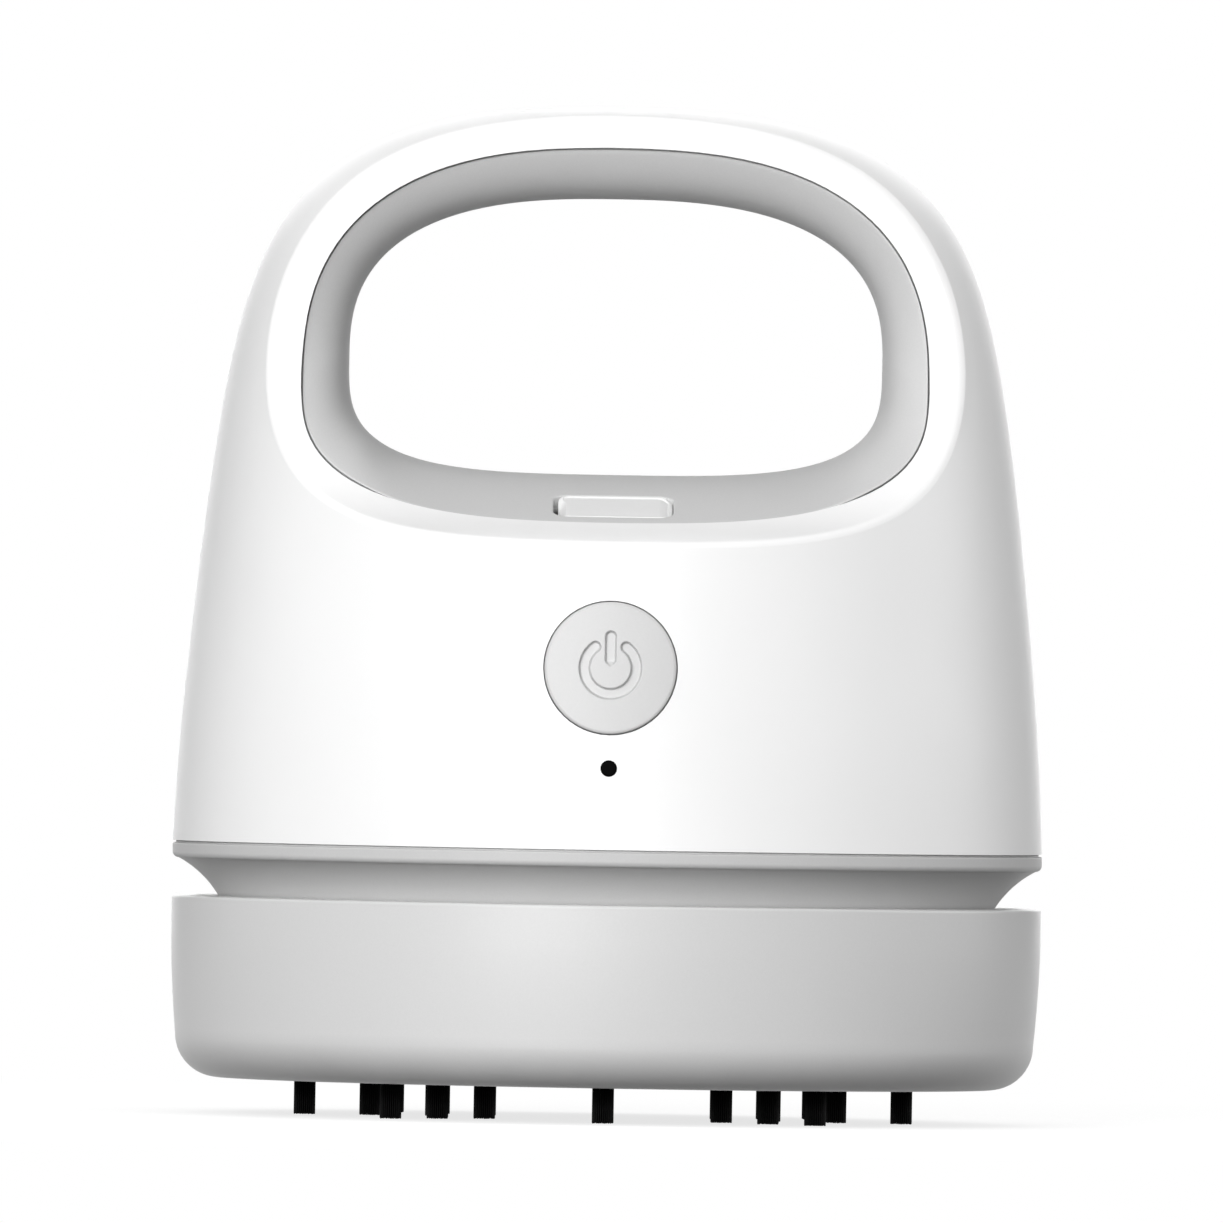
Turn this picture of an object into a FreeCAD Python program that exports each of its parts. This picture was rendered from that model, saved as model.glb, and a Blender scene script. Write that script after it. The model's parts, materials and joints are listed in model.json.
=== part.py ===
import FreeCAD, Part
import math
import os
import Sketcher
from FreeCAD import Placement, Rotation, Vector

# Desktop mini vacuum cleaner. Millimetres, +Z up, the front faces -Y, and the origin is
# the middle of the plane that the bristle tips stand on.

SIZES = {
    # Round body: base, dust cup, waist and the stack of heights that makes the dome
    "base_radius": 44.0,
    "tuft_reach": 3.64,
    "bin_height": 18.36,
    "waist_height": 5.3,
    "seam_gap": 0.25,
    "seam_depth": 0.8,
    "core_height": 37.74,
    "crown_height": 9.11,
    "shell_wall": 2.0,
    # Dome profile: how far the wall leans in, and the powers of its curve
    "dome_taper": 8.65,
    "taper_power": 1.39,
    "crown_power": 8.87,
    "shoulder_power": 2.63,
    # Scoops that leave the handle
    "scoop_radius": 28.5,
    "scoop_margin": 0.6,
    "scoop_lip": 1.9,
    "crease_round": 0.9,
    # Finger opening: the narrow middle, and the wider mouth in each scoop
    "mouth_inset": 12.37,
    "side_flare": 4.63,
    "grip_high": 16.46,
    "grip_low": 11.41,
    "mouth_drop": 2.5,
    "top_flare": 4.95,
    "floor_flare": 4.99,
    "grip_power_high": 2.64,
    "grip_power_low": 3.46,
    "mouth_power_high": 2.56,
    "mouth_power_low": 2.86,
    "liner_skin": 1.8,
    "mouth_step": 0.8,
    "rebate_width": 2.0,
    "half_gap": 0.1,
    "fit_gap": 0.05,
    # Charging port and its cover in the floor of the front lining
    "cover_length": 11.96,
    "cover_width": 6.7,
    "cover_thickness": 1.5,
    "cover_gap": 0.15,
    "cover_rim": 0.45,
    "cover_corner": 1.6,
    "dish_depth": 0.55,
    "dish_length": 8.55,
    "dish_width": 5.4,
    "notch_width": 0.5,
    "notch_depth": 0.8,
    "port_setback": 3.0,
    "socket_width": 8.94,
    "socket_depth": 3.2,
    "socket_length": 7.3,
    "socket_wall": 0.3,
    "socket_corner": 1.5,
    "tongue_width": 6.7,
    "tongue_depth": 0.7,
    # Push button and light
    "button_height": 18.2,
    "button_radius": 6.535,
    "button_gap": 0.2,
    "button_proud": 0.3,
    "button_skin": 1.9,
    "button_travel": 0.8,
    "flange_radius": 8.2,
    "flange_thickness": 1.2,
    "sleeve_wall": 1.4,
    "sleeve_length": 2.6,
    "symbol_radius": 2.55,
    "symbol_stroke": 1.1,
    "symbol_depth": 0.45,
    "symbol_gap": 2.1,
    "symbol_bar": 3.0,
    "symbol_bar_width": 0.9,
    "symbol_bar_rise": 1.2,
    "stem_radius": 2.0,
    "light_height": 8.15,
    "light_radius": 0.835,
    "light_gap": 0.05,
    "light_collar": 1.4,
    # Circuit board and the switch on it
    "board_width": 26.0,
    "board_inset": 14.9,
    "board_drop": 8.29,
    "board_foot": 3.45,
    "board_thickness": 1.6,
    "board_screw_spread": 21.0,
    "board_screw_inset": 2.5,
    "board_boss_radius": 2.2,
    "switch_side": 6.0,
    "switch_height": 3.5,
    "switch_floor": 0.7,
    "plunger_room": 0.2,
    "plunger_radius": 1.75,
    "plunger_gap": 0.06,
    "plunger_proud": 1.0,
    "touch_gap": 0.1,
    "led_side": 2.8,
    "led_height": 1.4,
    # Waist ring with deck, neck and spigot
    "deck_thickness": 2.0,
    "inlet_eye": 8.5,
    "flange_drop": 0.9,
    "flange_edge": 0.6,
    "neck_sweep": 10.7,
    "neck_inset": 4.7,
    "spigot_wall": 1.8,
    "spigot_depth": 6.5,
    "rib_wall": 1.4,
    "rib_height": 2.45,
    "shell_gap": 0.2,
    "seal_depth": 3.7,
    "seal_section": 1.6,
    # Filter cassette
    "filter_height": 5.0,
    "filter_recess": 0.5,
    "filter_ledge": 1.5,
    "filter_rim": 2.6,
    "filter_bar": 1.2,
    "pleat_pitch": 4.0,
    "pleat_paper": 0.7,
    # Dust cup
    "bin_wall": 2.0,
    "bin_floor": 1.8,
    "bin_corner": 4.4,
    "bin_lean": 0.57,
    "bin_straight": 4.3,
    "bin_bulge": 130.0,
    "rim_round": 0.3,
    "collar_gap": 0.2,
    "collar_flange": 2.0,
    "collar_sleeve": 1.4,
    "plate_inset": 10.0,
    "plate_gap": 0.1,
    "plate_ledge": 2.5,
    "plate_flange": 1.76,
    "suction_radius": 8.0,
    "riser_wall": 1.5,
    "baffle_radius": 13.0,
    "baffle_thickness": 1.2,
    "baffle_window": 2.6,
    "baffle_gap": 1.2,
    "baffle_leg": 1.6,
    # Bristle tufts: eight rows, three rings
    "row_count": 8,
    "tuft_radius": 1.1,
    "tuft_socket": 2.2,
    "tuft_margin": 3.8,
    "tuft_pitch": 6.65,
    # Fan
    "fan_room": 7.6,
    "fan_wall": 1.8,
    "fan_chamber": 9.45,
    "fan_roof": 1.8,
    "fan_window_width": 9.0,
    "fan_window_height": 5.5,
    "fan_window_sill": 2.6,
    "fan_window_count": 8,
    "ear_radius": 3.5,
    "ear_thickness": 2.0,
    "blade_gap": 2.7,
    "impeller_lift": 2.05,
    "blade_height": 3.6,
    "blade_root": 7.0,
    "blade_tip_gap": 0.3,
    "blade_thickness": 1.0,
    "blade_lean": 35.0,
    "blade_count": 9,
    "impeller_disc": 1.0,
    "hub_radius": 3.5,
    "hub_rise": 1.8,
    # Motor
    "motor_radius": 12.0,
    "motor_room": 7.79,
    "motor_nose_radius": 3.1,
    "motor_nose_gap": 0.1,
    "motor_cap_radius": 11.4,
    "motor_cap_height": 2.0,
    "terminal_spread": 12.0,
    "terminal_width": 2.8,
    "terminal_thickness": 0.5,
    "terminal_height": 1.5,
    "shaft_radius": 1.0,
    "shaft_gap": 0.05,
    "shaft_depth": 17.0,
    # Battery and its cradle
    "cell_radius": 7.05,
    "cell_length": 43.0,
    "cell_nub_radius": 2.75,
    "cell_nub": 1.0,
    "cell_drop": 15.29,
    "cell_gap": 1.5,
    "cradle_gap": 0.1,
    "cradle_inset": 1.5,
    "cradle_plate": 2.0,
    "cradle_side": 1.8,
    "cradle_web_gap": 1.0,
    "cradle_web_height": 4.0,
    "cradle_relief": 1.0,
    "foot_length": 7.0,
    "foot_thickness": 2.0,
    # Screws and the bosses that take them
    "shell_screw_inset": 11.0,
    "shell_boss_radius": 3.4,
    "shell_boss_height": 12.5,
    "boss_web": 1.6,
    "big_shank": 1.2,
    "big_head": 2.6,
    "big_head_height": 1.6,
    "big_screw_length": 11.5,
    "small_shank": 1.0,
    "small_head": 2.0,
    "small_head_height": 1.2,
    "small_screw_length": 6.5,
    "screw_gap": 0.2,
    "deck_boss_radius": 2.4,
    "deck_boss_room": 0.8,
    "motor_screw_reach": 8.0,
    "motor_screw_length": 4.5,
    "liner_screw_inset": 9.0,
    "liner_screw_drop": 4.2,
    "liner_boss_radius": 2.4,
    "liner_boss_length": 6.0,
    "liner_boss_end": 1.0,
    # Air outlets in the back of the shell
    "slot_width": 2.2,
    "slot_height": 9.0,
    "slot_sill": 4.5,
    "slot_step": 8.0,
    "slots_each_side": 4,
    # Wires
    "wire_radius": 0.6,
}

# Levels and places that follow from the sizes: name, then the expression
LEVELS = {
    "bin_base": "sizes.tuft_reach",
    "bin_rim": "bin_base + sizes.bin_height",
    "flange_top": "bin_rim + sizes.waist_height",
    "shell_base": "flange_top + sizes.seam_gap",
    "deck_under": "shell_base - sizes.deck_thickness",
    "grip_floor": "shell_base + sizes.core_height",
    "grip_middle": "grip_floor + sizes.grip_low",
    "grip_top": "grip_middle + sizes.grip_high",
    "crown": "grip_top + sizes.crown_height",
    "mouth_middle": "grip_middle - sizes.mouth_drop",
    "mouth_bottom": "grip_floor - sizes.floor_flare",
    "mouth_top": "grip_top + sizes.top_flare",
    "scoop_bottom": "mouth_bottom - sizes.scoop_lip",
    "scoop_level": "scoop_bottom + sizes.scoop_radius",
    "scoop_centre": "sizes.base_radius - sizes.scoop_margin",
    "handle_half": "scoop_centre - sizes.scoop_radius",
    "mouth_half_width": "sizes.base_radius - sizes.mouth_inset",
    "grip_half_width": "mouth_half_width - sizes.side_flare",
    "button_level": "shell_base + sizes.button_height",
    "light_level": "shell_base + sizes.light_height",
    "spigot_foot": "bin_rim - sizes.spigot_depth",
    "spigot_radius": "sizes.base_radius - sizes.neck_inset",
    "spigot_bore": "spigot_radius - sizes.spigot_wall",
    "seal_level": "bin_rim - sizes.seal_depth",
    "filter_foot": "spigot_foot + sizes.filter_recess",
    "filter_top": "filter_foot + sizes.filter_height",
    "collar_bore": "spigot_radius + sizes.collar_gap",
    "bin_bore": "sizes.base_radius - sizes.bin_wall",
    "shell_bore": "sizes.base_radius - sizes.shell_wall",
    "bin_floor_top": "bin_base + sizes.bin_floor",
    "plate_top": "bin_floor_top + sizes.plate_flange",
    "riser_radius": "sizes.suction_radius + sizes.riser_wall",
    "baffle_under": "filter_foot - sizes.baffle_gap - sizes.baffle_thickness",
    "riser_top": "baffle_under - sizes.baffle_window",
    "plate_radius": "sizes.base_radius - sizes.plate_inset",
    "tuft_ring_outer": "plate_radius - sizes.tuft_margin",
    "tuft_ring_middle": "tuft_ring_outer - sizes.tuft_pitch",
    "tuft_ring_inner": "tuft_ring_middle - sizes.tuft_pitch",
    "shell_screw_reach": "sizes.base_radius - sizes.shell_screw_inset",
    "fan_radius": "shell_screw_reach - sizes.shell_boss_radius - sizes.fan_room",
    "ear_reach": "fan_radius + sizes.small_head",
    "impeller_radius": "fan_radius - sizes.fan_wall - sizes.blade_gap",
    "fan_ceiling": "shell_base + sizes.fan_chamber",
    "motor_seat": "fan_ceiling + sizes.fan_roof",
    "motor_top": "grip_floor - sizes.motor_room",
    "motor_cap_top": "motor_top + sizes.motor_cap_height",
    "impeller_foot": "shell_base + sizes.impeller_lift",
    "impeller_disc_foot": "impeller_foot + sizes.blade_height",
    "impeller_disc_top": "impeller_disc_foot + sizes.impeller_disc",
    "hub_top": "impeller_disc_top + sizes.hub_rise",
    "cell_level": "grip_floor - sizes.cell_drop",
    "cell_reach": "sizes.motor_radius + sizes.cell_gap + sizes.cell_radius",
    "board_base": "shell_base + sizes.board_foot",
    "board_top": "grip_floor - sizes.board_drop",
    "board_back": "sizes.base_radius - sizes.board_inset",
    "port_reach": "board_back - sizes.socket_depth / 2",
    "board_face": "board_back + sizes.board_thickness",
    "switch_face": "board_face + sizes.switch_height",
    "plunger_tip": "switch_face + sizes.plunger_proud",
    "stem_tip": "plunger_tip + sizes.touch_gap",
    "sleeve_bore": "sizes.flange_radius + sizes.button_gap",
    "liner_screw_level": "grip_floor - sizes.liner_screw_drop",
    "liner_screw_reach": "grip_half_width - sizes.liner_screw_inset",
    "ear_top": "shell_base + sizes.ear_thickness",
    "foot_top": "shell_base + sizes.foot_thickness",
    "deck_boss_foot": "filter_top + sizes.deck_boss_room",
    "cradle_reach": "sizes.cell_length / 2 - sizes.cradle_inset",
    "cradle_foot_middle": "cradle_reach + sizes.cradle_plate / 2 + sizes.foot_length / 2",
}

MAIN_WALL_LEAN = 0.7      # below this share of the dome's height its profile is evenly divided
WALL_STEPS = 6            # points of the dome's profile below that share
CROWN_STEPS = 17          # points of the dome's profile above it
OPENING_STEPS = 40        # points round the finger opening
SECTION_BLEND = 4.0       # how gently the floor of the lining starts to fall away, mm
RAMP_EASE = 0.85          # slope of the lining's ramp, as a share of the scoop's slope there
FLARE_POWER = 4           # how late the lining's sides and top curl outwards
PAST_MOUTH = 0.6          # share of the flare that the lining's surface gains past the mouth
PAST_MIDDLE = 3.0         # how far the tunnel's tool runs past the middle plane, mm
FLOOR_FROM = 0.5          # sine of the angle below which the lining's floor starts to blend in
FLOOR_BLEND = 0.4         # and the span of that blend
LINING_STATIONS = (1.12, 0.98, 0.87, 0.76, 0.65, 0.54, 0.44, 0.34, 0.24, 0.13, 0.0)


# ---------------------------------------------------------------- document and sheet

doc = FreeCAD.newDocument("desktop_vacuum")


def make_sheet():
    """Puts the driving sizes in a spreadsheet, one named cell each."""
    sheet = doc.addObject("Spreadsheet::Sheet", "sizes")
    for row, (name, value) in enumerate(SIZES.items(), start=1):
        sheet.set(f"A{row}", name)
        sheet.set(f"B{row}", str(value))
        sheet.setAlias(f"B{row}", name)
    doc.recompute()
    return sheet


def make_levels():
    """Binds each derived level to the sheet."""
    levels = doc.addObject("App::VarSet", "levels")
    for name, expression in LEVELS.items():
        levels.addProperty("App::PropertyFloat", name, "Levels", "")
        levels.setExpression(name, expression)
    doc.recompute()
    return levels


sheet = make_sheet()
levels = make_levels()
PARTS = {}


def value(expression):
    """The number that an expression of sizes and levels stands for."""
    return float(sheet.evalExpression(str(expression)))


def size(name):
    """A driving size."""
    return float(sheet.get(name))


def level(name):
    """A derived level."""
    return getattr(levels, name)


# ---------------------------------------------------------------- sketches and bodies

def new_body(name):
    """A PartDesign body that becomes one sub-part."""
    body = doc.addObject("PartDesign::Body", name)
    body.Label = name
    PARTS[name] = body
    return body


def datum(body, role):
    """One of the body's own origin planes or axes."""
    return next(item for item in body.Origin.OriginFeatures if item.Role == role)


def new_sketch(body, plane, offset="0"):
    """An empty sketch on the body's own plane, moved along the plane's normal."""
    sketch = body.newObject("Sketcher::SketchObject", body.Name + "_sketch")
    sketch.AttachmentSupport = [(datum(body, plane), "")]
    sketch.MapMode = "FlatFace"
    sketch.setExpression("AttachmentOffset.Base.z", offset)
    return sketch


def bind(sketch, constraint, expression):
    """Adds a constraint and ties its value to an expression."""
    index = sketch.addConstraint(constraint)
    sketch.setExpression(f"Constraints[{index}]", expression)


def pin_point(sketch, geometry, end, x, y):
    """Holds a point of a sketch at two expressions."""
    bind(sketch, Sketcher.Constraint("DistanceX", geometry, end, value(x)), x)
    bind(sketch, Sketcher.Constraint("DistanceY", geometry, end, value(y)), y)


def arc_between(start, finish, radius, turn):
    """A minor arc between two points; turn is 1 when its centre lies left of the chord."""
    chord = finish - start
    rise = math.sqrt(max(radius ** 2 - (chord.Length / 2) ** 2, 0.0))
    left = Vector(-chord.y, chord.x, 0).normalize()
    centre = (start + finish) / 2 + left * rise * turn
    first, last = (start, finish) if turn > 0 else (finish, start)
    angles = [math.atan2(p.y - centre.y, p.x - centre.x) for p in (first, last)]
    circle = Part.Circle(centre, Vector(0, 0, 1), radius)
    return Part.ArcOfCircle(circle, angles[0], angles[1])


def draw_outline(sketch, corners):
    """Draws a closed outline through corners.

    Each corner is (x, y) for a straight side to the next corner, or
    (x, y, radius, turn) for an arc to it.
    """
    points = [Vector(value(c[0]), value(c[1]), 0) for c in corners]
    heads = []
    tails = []
    for index, corner in enumerate(corners):
        start = points[index]
        finish = points[(index + 1) % len(points)]
        if len(corner) == 2:
            side = sketch.addGeometry(Part.LineSegment(start, finish))
            turn = 1
        else:
            turn = corner[3]
            side = sketch.addGeometry(arc_between(start, finish, value(corner[2]), turn))
        heads.append((side, 1 if turn > 0 else 2))
        tails.append((side, 2 if turn > 0 else 1))
    for index, corner in enumerate(corners):
        before = tails[index - 1]
        sketch.addConstraint(Sketcher.Constraint("Coincident", *before, *heads[index]))
        pin_point(sketch, *heads[index], corner[0], corner[1])
        if len(corner) > 2:
            radius = Sketcher.Constraint("Radius", heads[index][0], value(corner[2]))
            bind(sketch, radius, corner[2])


def draw_circle(sketch, x, y, radius):
    """Draws a circle held at two expressions."""
    centre = Vector(value(x), value(y), 0)
    circle = Part.Circle(centre, Vector(0, 0, 1), value(radius))
    index = sketch.addGeometry(circle)
    bind(sketch, Sketcher.Constraint("Radius", index, value(radius)), radius)
    pin_point(sketch, index, 3, x, y)


def rectangle(x, y, width, height):
    """Corners of a rectangle about a centre."""
    left, right = f"{x} - ({width}) / 2", f"{x} + ({width}) / 2"
    low, high = f"{y} - ({height}) / 2", f"{y} + ({height}) / 2"
    return [(left, low), (right, low), (right, high), (left, high)]


def revolve(body, corners, axis="V_Axis", plane="XZ_Plane"):
    """Turns an outline about the sketch's own axis."""
    sketch = new_sketch(body, plane)
    draw_outline(sketch, corners)
    turned = body.newObject("PartDesign::Revolution", body.Name + "_turned")
    turned.Profile = sketch
    turned.ReferenceAxis = (sketch, [axis])
    turned.Angle = 360
    return turned


def extrude(body, plane, offset, length, outlines=(), circles=(), cut=False):
    """Pads or pockets outlines and circles forward along the plane's normal."""
    sketch = new_sketch(body, plane, offset)
    for corners in outlines:
        draw_outline(sketch, corners)
    for circle in circles:
        draw_circle(sketch, *circle)
    kind = "PartDesign::Pocket" if cut else "PartDesign::Pad"
    feature = body.newObject(kind, body.Name + ("_cut" if cut else "_pad"))
    feature.Profile = sketch
    feature.Reversed = cut
    feature.setExpression("Length", length)
    return feature


def turn_copies(body, feature, count, axis="Z_Axis"):
    """Repeats a feature round an axis of the body."""
    pattern = body.newObject("PartDesign::PolarPattern", body.Name + "_round")
    pattern.Originals = [feature]
    pattern.Axis = (datum(body, axis), [""])
    pattern.Angle = 360
    pattern.setExpression("Occurrences", str(count))
    body.Tip = pattern
    return pattern


def mirror_copy(body, feature, plane="YZ_Plane"):
    """Repeats a feature on the other side of a plane of the body."""
    pattern = body.newObject("PartDesign::Mirrored", body.Name + "_mirrored")
    pattern.Originals = [feature]
    pattern.MirrorPlane = (datum(body, plane), [""])
    body.Tip = pattern
    return pattern


def keep_shape(name, shape):
    """Stores a shape made from Part's own functions as one sub-part."""
    feature = doc.addObject("Part::Feature", name)
    feature.Label = name
    feature.Shape = shape
    PARTS[name] = feature
    return feature


# ---------------------------------------------------------------- shapes with a formula

def dome_radius(share):
    """Radius of the dome at a share of its height: a leaning wall that rounds over."""
    wall = size("base_radius") - size("dome_taper") * share ** size("taper_power")
    crown = 1 - share ** size("crown_power")
    return wall * max(crown, 0.0) ** (1 / size("shoulder_power"))


def dome_shares():
    """Heights of the profile's points: even on the wall, even in slope over the crown."""
    wall = [MAIN_WALL_LEAN * step / WALL_STEPS for step in range(WALL_STEPS)]
    powers = size("crown_power"), size("shoulder_power")
    start = (1 - MAIN_WALL_LEAN ** powers[0]) ** (1 / powers[1])
    widths = [start * math.cos(math.pi / 2 * step / CROWN_STEPS) for step in range(CROWN_STEPS)]
    crown = [(1 - width ** powers[1]) ** (1 / powers[0]) for width in widths]
    return wall + crown + [1.0]


def dome_profile(inset):
    """Points of the dome's profile, moved inwards by an even inset."""
    base = level("shell_base")
    height = level("crown") - base
    points = []
    for share in dome_shares():
        if share == 1.0:
            points.append(Vector(0, 0, base + height - inset))
            continue
        step = min(1e-5, (1 - share) / 4)
        low, high = max(share - step, 0.0), share + step
        run = Vector(dome_radius(high) - dome_radius(low), 0, height * (high - low))
        run.normalize()
        here = Vector(dome_radius(share), 0, base + height * share)
        points.append(here + Vector(-run.z, 0, run.x) * inset)
    return points


def dome(inset=0.0):
    """The solid dome, its wall moved inwards by an even inset."""
    points = dome_profile(inset)
    lean = (points[1] - points[0]).normalize()
    curve = Part.BSplineCurve()
    curve.interpolate(Points=points, InitialTangent=lean, FinalTangent=Vector(-1, 0, 0))
    foot = points[0].z
    sides = [
        curve.toShape(),
        Part.LineSegment(points[-1], Vector(0, 0, foot)).toShape(),
        Part.LineSegment(Vector(0, 0, foot), points[0]).toShape(),
    ]
    return Part.Face(Part.Wire(sides)).revolve(Vector(0, 0, 0), Vector(0, 0, 1), 360)


def dome_reach(height, inset=0.0):
    """Radius of the dome at a level, less an inset."""
    share = (height - level("shell_base")) / (level("crown") - level("shell_base"))
    return dome_radius(share) - inset


def scoop_depth(height):
    """How far in front of the middle plane the scoop's surface lies at a level."""
    drop = max(level("scoop_level") - height, 0.0)
    drop = min(drop, size("scoop_radius"))
    return level("scoop_centre") - math.sqrt(size("scoop_radius") ** 2 - drop ** 2)


def scoop_pair(grow=0.0):
    """Both scoops: a quarter round under a flat wall, grown into the body by an amount."""
    radius = size("scoop_radius") + grow
    face = level("handle_half") - grow
    centre, height = level("scoop_centre"), level("scoop_level")
    far = 2 * size("base_radius")
    above = level("crown") + size("base_radius")
    corner = radius * math.sqrt(0.5)
    top = Vector(0, -face, height)
    middle = Vector(0, corner - centre, height - corner)
    bottom = Vector(0, -centre, height - radius)
    path = [bottom, Vector(0, -far, height - radius), Vector(0, -far, above), Vector(0, -face, above), top]
    sides = [Part.Arc(top, middle, bottom).toShape()]
    sides += [Part.LineSegment(a, b).toShape() for a, b in zip(path, path[1:])]
    front = Part.Face(Part.Wire(sides)).extrude(Vector(2 * far, 0, 0))
    front.translate(Vector(-far, 0, 0))
    return [front, front.mirror(Vector(0, 0, 0), Vector(0, 1, 0))]


def egg_point(half_width, middle, high, low, powers, angle):
    """A point of an egg: one superellipse above its widest line and one below."""
    across, up = math.cos(angle), math.sin(angle)
    power, height = (powers[0], high) if up >= 0 else (powers[1], low)
    x = half_width * math.copysign(abs(across) ** (2 / power), across)
    z = middle + height * math.copysign(abs(up) ** (2 / power), up)
    return Vector(x, 0, z)


def grip_point(angle):
    """A point of the opening's narrowest outline."""
    powers = size("grip_power_high"), size("grip_power_low")
    return egg_point(level("grip_half_width"), level("grip_middle"), size("grip_high"),
                     size("grip_low"), powers, angle)


def mouth_point(angle):
    """A point of the opening's outline in the scoop's surface."""
    middle = level("mouth_middle")
    powers = size("mouth_power_high"), size("mouth_power_low")
    return egg_point(level("mouth_half_width"), middle, level("mouth_top") - middle,
                     middle - level("mouth_bottom"), powers, angle)


def outward(point_of, angle):
    """Outward normal, in XZ, of an outline at an angle."""
    step = 0.01
    run = point_of(angle + step) - point_of(angle - step)
    return Vector(run.z, 0, -run.x).normalize()


def opening_angles():
    """Angles round the opening, none of them on an axis."""
    return [2 * math.pi * (step + 0.5) / OPENING_STEPS for step in range(OPENING_STEPS)]


def lining_reach(height):
    """Depth at which the lining meets the back of the shell's lip, at a level of the mouth."""
    return scoop_depth(height) - size("mouth_step")


def floor_share(depth):
    """Share of the flare reached at a depth along the lining's floor: level, then a ramp.

    The ramp is a little less steep than the scoop where they meet.
    """
    bottom = level("mouth_bottom")
    reach = lining_reach(bottom)
    slope = (level("scoop_centre") - reach) / (level("scoop_level") - bottom) * RAMP_EASE
    rise = size("floor_flare") / slope
    start = reach - rise + SECTION_BLEND ** 2 / (4 * rise)
    run = depth - start
    return (run + math.sqrt(run ** 2 + SECTION_BLEND ** 2)) / 2 / rise


def side_share(depth, reach):
    """Share of the flare reached at a depth along the lining's sides and top.

    It grows with the fourth power of the depth, and levels off past the mouth.
    """
    ratio = depth / reach
    if ratio < 1:
        return ratio ** FLARE_POWER
    return 1 + PAST_MOUTH * (1 - math.exp((1 - ratio) * FLARE_POWER / PAST_MOUTH))


def lining_point(angle, depth, skin):
    """A point of the lining at a depth from the middle plane, moved out by its skin."""
    grip, mouth = grip_point(angle), mouth_point(angle)
    below = min(max((-math.sin(angle) - FLOOR_FROM) / FLOOR_BLEND, 0.0), 1.0)
    weight = below ** 2 * (3 - 2 * below)
    share = weight * floor_share(depth) + (1 - weight) * side_share(depth, lining_reach(mouth.z))
    point = grip + (mouth - grip) * share + outward(grip_point, angle) * skin
    return Vector(point.x, -depth, point.z)


def closed_curve(points):
    """A closed smooth wire through points."""
    curve = Part.BSplineCurve()
    curve.interpolate(Points=points, PeriodicFlag=True)
    return Part.Wire([curve.toShape()])


def lining(skin):
    """The flared tunnel, solid, from past the middle plane out through the front scoop."""
    reach = lining_reach(level("mouth_bottom"))
    depths = [reach * station for station in LINING_STATIONS]
    wires = []
    for depth in depths:
        wires.append(closed_curve([lining_point(a, depth, skin) for a in opening_angles()]))
    past = [lining_point(a, 0.0, skin) + Vector(0, PAST_MIDDLE, 0) for a in opening_angles()]
    wires.append(closed_curve(past))
    return Part.makeLoft(wires, True, False)


def mouth_prism(grow=0.0):
    """A straight block of the mouth's outline, grown less at the bottom than elsewhere."""
    points = []
    for angle in opening_angles():
        width = grow * min(max(math.sin(angle) + 1.0, 0.4), 1.0)
        points.append(mouth_point(angle) + outward(mouth_point, angle) * width)
    reach = 2 * size("base_radius")
    block = Part.Face(closed_curve(points)).extrude(Vector(0, 2 * reach, 0))
    block.translate(Vector(0, -reach, 0))
    return block


def rod(radius, start, finish):
    """A round rod between two points."""
    return Part.makeCylinder(radius, (finish - start).Length, start, finish - start)


def block(low, high):
    """A box between two corners."""
    return Part.makeBox(high.x - low.x, high.y - low.y, high.z - low.z, low)


# ---------------------------------------------------------------- shell

def port_frame():
    """Place of the charging port: on the lining's ramp, its Z along the ramp's normal."""
    reach = level("port_reach")
    point = lining_point(-math.pi / 2, reach, 0.0)
    ahead = lining_point(-math.pi / 2, reach + 0.5, 0.0)
    tilt = math.degrees(math.atan2(point.z - ahead.z, 0.5))
    return Placement(Vector(0, -reach, point.z), Rotation(Vector(1, 0, 0), tilt))


def rounded_outline(length, width, corner, height):
    """A rectangle with rounded corners, middle on Z, as a wire at a height."""
    quarter = math.pi / 2
    corners = []
    for turn, (right, back) in enumerate(((1, 1), (-1, 1), (-1, -1), (1, -1))):
        centre = Vector(right * (length / 2 - corner), back * (width / 2 - corner), height)
        circle = Part.Circle(centre, Vector(0, 0, 1), corner)
        corners.append(Part.Arc(circle, turn * quarter, (turn + 1) * quarter).toShape())
    sides = []
    for arc, after in zip(corners, corners[1:] + corners[:1]):
        sides += [arc, Part.makeLine(arc.Vertexes[-1].Point, after.Vertexes[0].Point)]
    return Part.Wire(sides)


def rounded_block(length, width, corner, low, high):
    """A block with rounded upright edges, middle on Z, between two heights."""
    return Part.Face(rounded_outline(length, width, corner, low)).extrude(Vector(0, 0, high - low))


def port_recess():
    """Space that the charging port's cover sits in, through lining and shell."""
    gap = size("cover_gap")
    deep = size("port_setback") + size("liner_skin")
    recess = rounded_block(size("cover_length") + 2 * gap, size("cover_width") + 2 * gap,
                           size("cover_corner") + gap, -deep, deep)
    recess.Placement = port_frame()
    return recess


def shell_body():
    """The scooped dome with its creases rounded, hollowed to an even wall."""
    solid = dome().cut(scoop_pair()).Solids[0]
    base = level("shell_base")
    creases = []
    for edge in solid.Edges:
        kinds = {type(face.Surface).__name__ for face in solid.ancestorsOfType(edge, Part.Face)}
        turned = "SurfaceOfRevolution" in kinds
        if turned and len(kinds) == 2 and edge.BoundBox.ZMax > base + 1:
            creases.append(edge)
    solid = solid.makeFillet(min(size("crease_round"), size("shell_wall") * 0.8), creases)
    wall = size("shell_wall")
    hollow = dome(wall).cut(scoop_pair(wall)).Solids[0]
    foot = Part.makeCylinder(level("shell_bore"), 2 * wall, Vector(0, 0, base - wall))
    return solid.cut([hollow, foot])


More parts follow.
